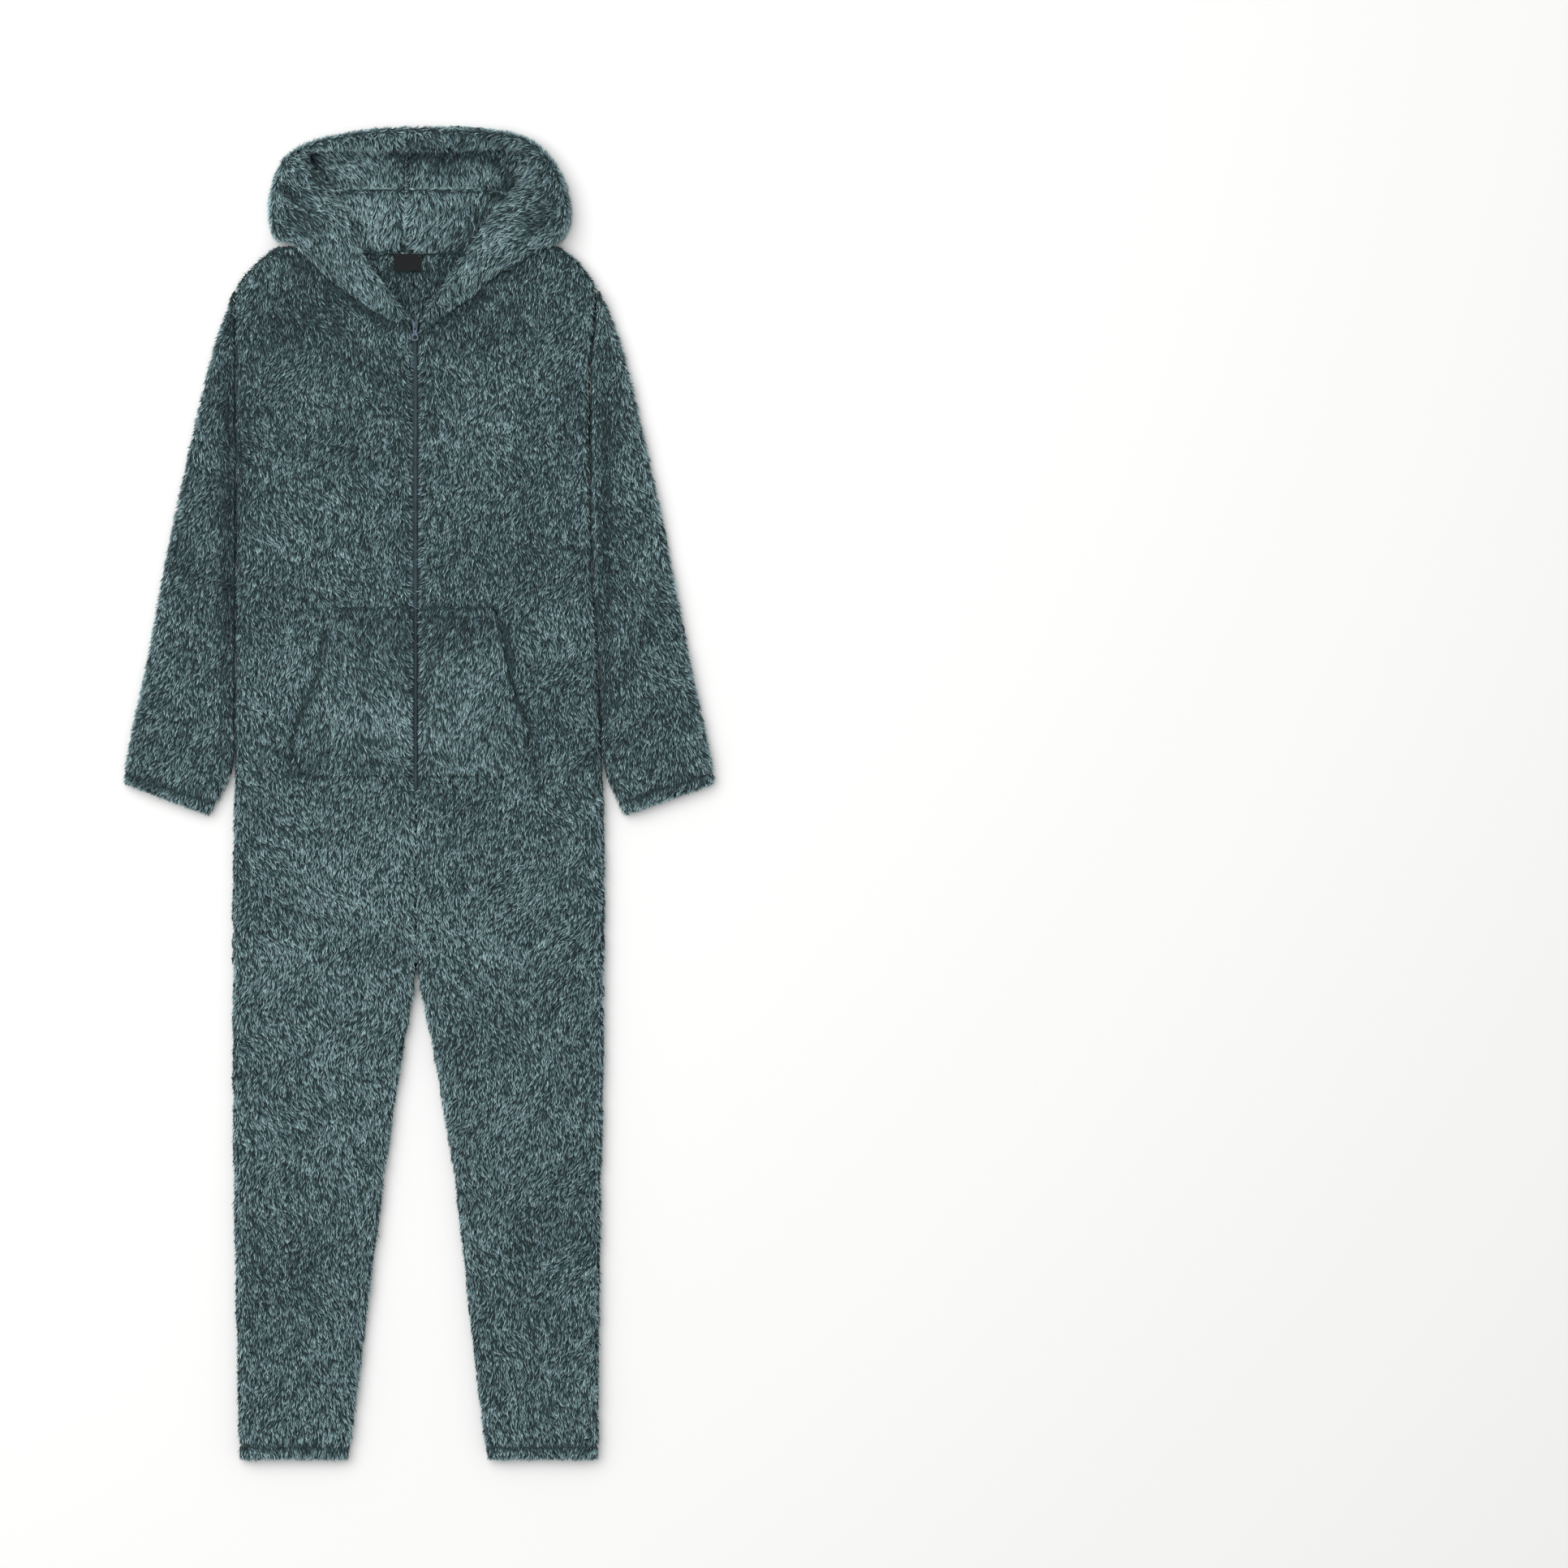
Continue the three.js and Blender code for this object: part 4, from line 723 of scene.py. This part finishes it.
def sowPile(node, surface, seed, s=pileSettings):
    generator = np.random.default_rng(seed)
    points, normals, sinks, triangles = (surface[key] for key in ("points", "normals", "sinks", "triangles"))
    a, b, c = (points[triangles[:, i]] for i in range(3))
    cross = np.cross(b - a, c - a)
    area = np.linalg.norm(cross, axis=1) / 2
    facingUp = cross[:, 2] / np.maximum(area * 2, 1e-12)
    density = np.where(facingUp < -0.3, s["underPerM2"], s["sidePerM2"])
    density[facingUp > 0.3] = s["topPerM2"]
    wanted = area * density
    count = int(wanted.sum())
    pick = generator.choice(len(triangles), count, p=wanted / wanted.sum())
    u, v = generator.random(count), generator.random(count)
    flip = u + v > 1
    u[flip], v[flip] = 1 - u[flip], 1 - v[flip]
    shares = np.stack([1 - u - v, u, v], axis=1)
    corner = triangles[pick]
    at = (points[corner] * shares[:, :, None]).sum(axis=1)
    normal = unit((normals[corner] * shares[:, :, None]).sum(axis=1))
    sink = (sinks[corner] * shares).sum(axis=1)
    shown = np.array([not isCovered(node, p, n) for p, n in zip(at.tolist(), normal.tolist())])
    at, normal, sink = at[shown], normal[shown], sink[shown]
    count = len(at)
    low = np.maximum(*(nearness(lines, node, at[:, 0], at[:, 1], "low") for lines in (seams, edgeShade)))
    kept = generator.random(count) > s["bare"] * np.clip((low - 0.5) / 0.4, 0, 1)
    at, normal, sink, low = at[kept], normal[kept], sink[kept], low[kept]
    count = len(at)
    under = normal[:, 2] < -0.3
    aside = np.abs(normal[:, 2]) < 0.6
    x, y = at[:, 0], at[:, 1]
    dark = np.maximum(nearness(seams, node, x, y, "dark"), nearness(edgeShade, node, x, y, "dark"))
    # the hair's direction along the cloth
    angle = hairHeading(node, at) + np.radians(waveSum(turnWaves, at) + generator.normal(0, 13, count))
    flat = np.stack([np.cos(angle), np.sin(angle), np.where(np.abs(normal[:, 2]) < 0.5, -0.4, 0)], axis=1)
    tangent = unit(flat - (flat * normal).sum(axis=1)[:, None] * normal)
    length = surface["shag"] * mm(s["length"]) * (1 + s["lengthSpread"] * generator.uniform(-1, 1, count)) * (1 - 0.4 * low)
    rise = np.maximum(sink, mm(s["leastRise"])) + mm(1) * generator.uniform(-1.6, 0.8, count)
    rise = (rise + mm(s["sideRise"]) * generator.random(count) * aside) * (1 - low)
    run = np.sqrt(np.maximum(length ** 2 - rise ** 2, (0.4 * length) ** 2))
    root = at - normal * sink[:, None]
    tip = root + normal * rise[:, None] + tangent * run[:, None]
    lockX, lockY, lockTone = nearestLock(tip[:, 0], tip[:, 1], surface["shag"] * mm(s["lock"]))
    pull = s["gather"] * np.abs(normal[:, 2])
    tip[:, 0] += pull * (lockX - tip[:, 0])
    tip[:, 1] += pull * (lockY - tip[:, 1])
    # no hair stands further out than the cloth's own loft, but for a few along its edges
    proud = surface["loft"] * mm(s["proud"]) * generator.uniform(0.2, 1.6, count)
    fringe = mm(0.4) + mm(s["fringe"]) * generator.random(count) ** 2
    proud = np.where(aside, fringe, proud)
    proud = np.where(under, mm(0.3), proud)
    beyond = mm(surface["zipReach"]) * generator.uniform(0.3, 1.0, count) * (y < mm(s["slider"]))
    proud = np.where(np.abs(x - mm(centreSeamX)) < mm(11), np.maximum(beyond, proud), proud)
    for i, point in enumerate(tip.tolist()):
        near, facing, _index, distance = surface["tree"].find_nearest(point)
        away = Vector(point) - near
        if distance > proud[i] and away.dot(facing) > 0:
            tip[i] = near + away * (proud[i] / distance)
    tip[:, 2] = np.maximum(tip[:, 2], mm(s["floorGap"]))
    # three corners round the root and one tip, with its ridge up
    axis = unit(tip - root)
    across = unit(np.cross(normal, axis) + 1e-6)
    upward = np.cross(axis, across)
    width = mm(s["width"]) / 2 * generator.uniform(0.7, 1.3, count) * np.where(under, s["underWiden"], 1)
    roll = generator.normal(0, 0.35, count)
    side = across * np.cos(roll)[:, None] + upward * np.sin(roll)[:, None]
    ridge = upward * np.cos(roll)[:, None] - across * np.sin(roll)[:, None]
    high = width * 2 * s["ridge"]
    corners = np.stack([
        root + side * width[:, None] - ridge * (0.35 * high)[:, None],
        root + ridge * (0.65 * high)[:, None],
        root - side * width[:, None] - ridge * (0.35 * high)[:, None],
        tip,
    ], axis=1)
    corners[:, :, 2] = np.maximum(corners[:, :, 2], mm(s["floorGap"]))
    faces = np.array([[0, 1, 3], [1, 2, 3], [2, 0, 3], [0, 2, 1]])
    tufts = (np.arange(count)[:, None, None] * 4 + faces).reshape(-1, 3)
    mesh = meshFromArrays("pile_" + node, corners.reshape(-1, 3), tufts)
    # the tuft's tone: random waves, locks and tufts, with the patches' painted light and shade, less the
    # darkening along seams and the painted shade along edges
    tone = (0.52 + waveSum(toneWaves, at) + s["lockTone"] * (lockTone * 2 - 1) + paintedShadingTone(x, y) - dark
            + s["tuftTone"] * generator.normal(0, 1, count))
    half = s["mapHalf"]
    tone = np.clip(tone, half + 0.01, 1 - half - 0.01)
    bottom, top = np.full(count, 0.03), np.full(count, 0.97)
    onRight, onRidge, onLeft = (np.stack([tone + half * k, bottom], 1) for k in (1, 0, -1))
    atTip, inner = np.stack([tone, top], 1), np.stack([tone, bottom - 0.015], 1)
    places = np.stack([onRight, onRidge, atTip, onRidge, onLeft, atTip, onLeft, onRight, atTip,
                       onRight, onLeft, inner], axis=1)
    layer = mesh.uv_layers.new(name="OFBake")
    layer.data.foreach_set("uv", places.astype(np.float32).ravel())
    pile = linkObject("pile_" + node, mesh, pileMaterial, False)
    print(f"pile_{node}: {count} tufts, {len(tufts)} triangles")
    return pile


clothPieces = [
    {"name": "front_left", "flat": (249, 1603), "area": 0.339,
     "rests": ["cloth_back_left"], "loft": 1.0, "shag": 1.0},
    {"name": "front_right", "flat": (242, 1603), "area": 0.339,
     "rests": ["cloth_back_right"], "loft": 1.0, "shag": 1.0},
    {"name": "back_left", "flat": (249, 1603), "area": 0.349, "rests": [], "loft": 1.0, "shag": 1.0},
    {"name": "back_right", "flat": (242, 1603), "area": 0.349, "rests": [], "loft": 1.0, "shag": 1.0},
    {"name": "sleeve_left", "flat": (300, 693), "area": 0.135, "rests": [], "loft": 1.0, "shag": 1.0},
    {"name": "sleeve_right", "flat": (290, 693), "area": 0.125, "rests": [], "loft": 1.0, "shag": 1.0},
    {"name": "hood_left", "flat": (270, 360), "area": 0.085, "rests": [], "loft": 1.8, "shag": 1.3},
    {"name": "hood_right", "flat": (250, 360), "area": 0.075, "rests": [], "loft": 1.8, "shag": 1.3},
    {"name": "pocket_left", "flat": (142, 220), "area": 0.027,
     "rests": ["cloth_front_left"], "loft": 2.6, "shag": 1.1},
    {"name": "pocket_right", "flat": (151, 220), "area": 0.0286,
     "rests": ["cloth_front_right"], "loft": 2.6, "shag": 1.1},
]


def layerDepths(points, normals, tree, s=pileSettings):   # how far in the cloth's ground lies
    depths = np.full(len(points), mm(s["sink"]))
    for i, (point, normal) in enumerate(zip(points.tolist(), normals.tolist())):
        inward = -Vector(normal)
        hit = tree.ray_cast(Vector(point) + inward * mm(0.1), inward, mm(40))
        if hit[0] is not None:
            depths[i] = min(depths[i], s["groundShare"] * hit[3])
    return depths


surfaces = {}


def makeCloth(s, seed):
    node = s["name"]
    seamX = hoodSeamX if node.startswith("hood") else centreSeamX if node[:4] in ("fron", "back") else None
    mesh, points, triangles, normals = refinedMesh("cloth_" + node, node, seamX)
    tree = treeOf(points, triangles)
    sinks = layerDepths(points, normals, tree)
    touching = [isCovered(node, point, normal) for point, normal in zip(points.tolist(), normals.tolist())]
    sinks[touching] = np.minimum(sinks[touching], mm(pileSettings["touchSink"]))
    surface = {"points": points, "triangles": triangles, "normals": normals, "sinks": sinks, "tree": tree,
               "zipReach": 6.2 if node.startswith(("front", "pocket")) else 0.9,
               "loft": s["loft"], "shag": s["shag"]}
    surfaces[node] = surface
    ground = points - normals * sinks[:, None]
    ground[:, 2] = np.maximum(ground[:, 2], 0)
    mesh.vertices.foreach_set("co", ground.astype(np.float32).ravel())
    mesh.update()
    cloth = linkObject("cloth_" + node, mesh, groundMaterial, True)
    pile = sowPile(node, surface, seed)
    for piece in (cloth, pile):
        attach(piece, "garment")
    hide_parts(node)
    return pile


pileSeed = 100
pileTotal = 0
for index, piece in enumerate(clothPieces):
    pileTotal += len(makeCloth(piece, pileSeed + index).data.polygons)
print(f"pile: {pileTotal} triangles in all")


# the zip: its coil is two rows of turns that lock between each other

coilSettings = {
    "pitch": 1.35,
    "reach": 2.5,            # from the middle to the coil's side
    "past": 0.7,             # each turn's head goes this far past the middle
    "thick": 1.1,
    "coreHalf": 2.2,
    "coreThick": 0.5,
}


def coilHeights():           # the coil's top, from one end to the other
    points, triangles = arraysOf(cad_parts["zip_coil"].data)
    tree = treeOf(points, triangles)
    low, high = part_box("zip_coil")
    ys = np.linspace(low.y + mm(0.4), high.y - mm(0.4), 120)
    tops = []
    for y in ys:
        hit = tree.ray_cast(Vector((mm(centreSeamX), y, 1)), Vector((0, 0, -1)))
        tops.append(hit[0].z)
    return ys, np.array(tops)


def coilTurn(s):             # one turn of the coil, lying across it, modelled once
    deselectAll()
    across = s["reach"] + s["past"]
    bpy.ops.mesh.primitive_cylinder_add(vertices=6, radius=mm(s["thick"] / 2), depth=mm(across),
                                        rotation=(0, math.pi / 2, 0))
    turn = bpy.context.object
    bpy.ops.object.transform_apply(location=True, rotation=True, scale=True)
    bpy.ops.object.mode_set(mode="EDIT")
    bpy.ops.mesh.select_all(action="SELECT")
    bpy.ops.mesh.bisect(plane_co=(mm(across / 2 - 0.5), 0, 0), plane_no=(1, 0, 0))
    bpy.ops.object.mode_set(mode="OBJECT")
    for vertex in turn.data.vertices:        # the head is a rounded knuckle, the tail turns down
        share = vertex.co.x / mm(across / 2)
        if share > 0.95:
            vertex.co.y *= 0.5
            vertex.co.z *= 0.5
        elif share > 0.5:
            vertex.co.y *= 1.2
            vertex.co.z *= 1.15
        else:
            vertex.co.z -= mm(0.55)
            vertex.co.y *= 0.8
    bm = bmesh.new()
    bm.from_mesh(turn.data)
    bmesh.ops.triangulate(bm, faces=bm.faces)
    bmesh.ops.recalc_face_normals(bm, faces=bm.faces)
    bm.to_mesh(turn.data)
    bm.free()
    points, triangles = arraysOf(turn.data)
    bpy.data.objects.remove(turn)
    return points, triangles


def makeCoil(s):
    ys, tops = coilHeights()
    points, triangles = coilTurn(s)
    middle = mm((s["reach"] - s["past"]) / 2)
    places = np.arange(ys[0] + mm(1), ys[-1] - mm(1), mm(s["pitch"]))
    allPoints, allTriangles, start = [], [], 0
    for side in (-1, 1):
        row = points * [-side, 1, 1]
        faces = triangles if side == -1 else triangles[:, ::-1]
        for y in places + (mm(s["pitch"]) / 2 if side == 1 else 0):
            top = np.interp(y, ys, tops)
            allPoints.append(row + [mm(centreSeamX) + side * middle, y, top - mm(s["thick"] * 0.58)])
            allTriangles.append(faces + start)
            start += len(points)
    # the core cord that the turns are wound on
    half, thick = mm(s["coreHalf"]), mm(s["coreThick"])
    rings = []
    for y, top in zip(ys[::4], tops[::4]):
        base = top - mm(1.45)
        rings += [[mm(centreSeamX) - half, y, base], [mm(centreSeamX) + half, y, base],
                  [mm(centreSeamX) + half, y, base + thick], [mm(centreSeamX) - half, y, base + thick]]
    quads = []
    stations = len(rings) // 4
    for i in range(stations - 1):
        for k in range(4):
            p, q = i * 4 + k, i * 4 + (k + 1) % 4
            quads += [[p, q, q + 4], [p, q + 4, p + 4]]
    last = (stations - 1) * 4
    quads += [[0, 2, 1], [0, 3, 2], [last, last + 1, last + 2], [last, last + 2, last + 3]]
    allPoints.append(np.array(rings))
    allTriangles.append(np.array(quads)[:, ::-1] + start)
    mesh = meshFromArrays("zip_coil_turns", np.concatenate(allPoints), np.concatenate(allTriangles))
    coil = linkObject("zip_coil_turns", mesh, coilMaterial, True)
    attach(coil, "garment")
    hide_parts("zip_coil")
    print(f"zip coil: {len(places)} turns a side, {len(mesh.polygons)} triangles")


makeCoil(coilSettings)


# the slider and its tab: the CAD pieces with their edges rounded over, as a casting's are

castSettings = [
    {"node": "zip_slider", "body": "garment", "edge": 0.35, "name": "zip_slider_cast"},
    {"node": "zip_pull_tab", "body": "pull_tab", "edge": 0.3, "name": "zip_pull_tab_cast"},
]


def makeCasting(s):
    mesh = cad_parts[s["node"]].data.copy()
    bm = bmesh.new()
    bm.from_mesh(mesh)
    bmesh.ops.remove_doubles(bm, verts=bm.verts, dist=mm(0.01))
    bmesh.ops.dissolve_limit(bm, angle_limit=math.radians(3), verts=bm.verts, edges=bm.edges)
    bm.to_mesh(mesh)
    bm.free()
    casting = linkObject(s["name"], mesh, paintMaterial, False)
    deselectAll()
    bpy.context.view_layer.objects.active = casting
    casting.select_set(True)
    rounded = casting.modifiers.new("rounded edges", "BEVEL")
    rounded.width = mm(s["edge"])
    rounded.segments = 3
    rounded.limit_method = "ANGLE"
    rounded.angle_limit = math.radians(40)
    bpy.ops.object.modifier_apply(modifier=rounded.name)
    bpy.ops.object.shade_smooth_by_angle(angle=math.radians(35))
    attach(casting, s["body"])
    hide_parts(s["node"])
    print(f"{s['name']}: {len(casting.data.polygons)} faces")


for settings in castSettings:
    makeCasting(settings)

for node, material in (("zip_tape_left", tapeMaterial), ("zip_tape_right", tapeMaterial),
                       ("neck_label", satinMaterial)):
    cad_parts[node].data.materials.clear()
    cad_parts[node].data.materials.append(material)


# rows of stitches, each modelled once as a short arched length of thread

stitchSettings = {"long": 3.2, "apart": 4.4, "thick": 0.8, "bury": 1.6}
stitchRows = [
    {"on": "front_left", "from": (96, -859.5), "to": (236, -859.5), "up": 1},
    {"on": "front_right", "from": (-230, -859.5), "to": (-92, -859.5), "up": 1},
    {"on": "back_left", "from": (100, -859.5), "to": (232, -859.5), "up": -1},
    {"on": "back_right", "from": (-226, -859.5), "to": (-96, -859.5), "up": -1},
    {"on": "sleeve_left", "from": (264, -10), "to": (384, 29), "up": 1},
    {"on": "sleeve_right", "from": (-268, -10), "to": (-380, 28), "up": 1},
    {"on": "sleeve_left", "from": (268, -9), "to": (380, 28), "up": -1},
    {"on": "sleeve_right", "from": (-272, -9), "to": (-376, 27), "up": -1},
    {"on": "pocket_left", "from": (8, 236), "to": (104, 236), "up": 1},
    {"on": "pocket_right", "from": (-14, 236), "to": (-112, 236), "up": 1},
    {"on": "hood_left", "from": (7, 713), "to": (72, 713), "up": 1},
    {"on": "hood_right", "from": (-78, 713), "to": (-35, 713), "up": 1},
]


def stitchShape(s):
    deselectAll()
    bpy.ops.mesh.primitive_uv_sphere_add(segments=6, ring_count=5, radius=mm(s["long"] / 2),
                                         rotation=(0, math.pi / 2, 0))
    stitch = bpy.context.object
    bpy.ops.object.transform_apply(location=True, rotation=True, scale=True)
    slim = s["thick"] / s["long"]
    for vertex in stitch.data.vertices:
        sag = (vertex.co.x / mm(s["long"] / 2)) ** 2 * mm(0.5)
        vertex.co.y *= slim
        vertex.co.z = vertex.co.z * slim - sag
    bm = bmesh.new()
    bm.from_mesh(stitch.data)
    bmesh.ops.triangulate(bm, faces=bm.faces)
    bm.to_mesh(stitch.data)
    bm.free()
    points, triangles = arraysOf(stitch.data)
    bpy.data.objects.remove(stitch)
    return points, triangles


def makeStitches(s):
    shape, faces = stitchShape(s)
    allPoints, allTriangles, start = [], [], 0
    for row in stitchRows:
        x0, y0, x1, y1 = (mm(value) for value in (*row["from"], *row["to"]))
        length = math.hypot(x1 - x0, y1 - y0)
        along = np.array([(x1 - x0) / length, (y1 - y0) / length])
        turn = np.array([[along[0], -along[1]], [along[1], along[0]]])
        for k in range(int(length / mm(s["apart"]))):
            place = np.array([x0, y0]) + along * mm(s["apart"]) * (k + 0.5)
            start3 = Vector((*place, row["up"] * 1.0))
            hit = surfaces[row["on"]]["tree"].ray_cast(start3, Vector((0, 0, -row["up"])))
            if hit[0] is None:
                continue
            points = shape.copy()
            points[:, :2] = points[:, :2] @ turn.T + place
            points[:, 2] = points[:, 2] * row["up"] + hit[0].z - row["up"] * mm(s["bury"])
            points[:, 2] = np.maximum(points[:, 2], mm(0.1))
            allPoints.append(points)
            allTriangles.append((faces if row["up"] == 1 else faces[:, ::-1]) + start)
            start += len(points)
    mesh = meshFromArrays("hem_stitches", np.concatenate(allPoints), np.concatenate(allTriangles))
    stitches = linkObject("hem_stitches", mesh, threadMaterial, True)
    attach(stitches, "garment")
    print(f"stitches: {len(mesh.polygons)} triangles")


makeStitches(stitchSettings)


# floor and light

stageSettings = {
    "floorSize": 12000,
    "floorColour": "#f2f2f1",
    "lampEnergy": 190,
    "lampSize": 5000,
    "lampHeight": 4200,
    "lampX": -1500,
    "lampY": 1500,
    "worldStrength": 0.62,
}


def makeStage(s):
    deselectAll()
    bpy.ops.mesh.primitive_plane_add(size=mm(s["floorSize"]), location=(0, 0, -mm(0.2)))
    floor = bpy.context.object
    floor.name = "floor"
    material, shader = newMaterial("matt white studio floor", {"Roughness": 0.9})
    shader.inputs["Base Color"].default_value = hexColour(s["floorColour"])
    floor.data.materials.append(material)
    bpy.ops.object.light_add(type="AREA", location=(mm(s["lampX"]), mm(s["lampY"]), mm(s["lampHeight"])))
    lamp = bpy.context.object
    lamp.data.size = mm(s["lampSize"])
    lamp.data.energy = s["lampEnergy"]
    lamp.rotation_euler = (-lamp.location).to_track_quat("-Z", "Y").to_euler()
    world = bpy.data.worlds.new("soft daylight")
    bpy.context.scene.world = world
    world.use_nodes = True
    world.node_tree.nodes["Background"].inputs["Color"].default_value = (1, 1, 1, 1)
    world.node_tree.nodes["Background"].inputs["Strength"].default_value = s["worldStrength"]
    print("floor and lights placed")


makeStage(stageSettings)
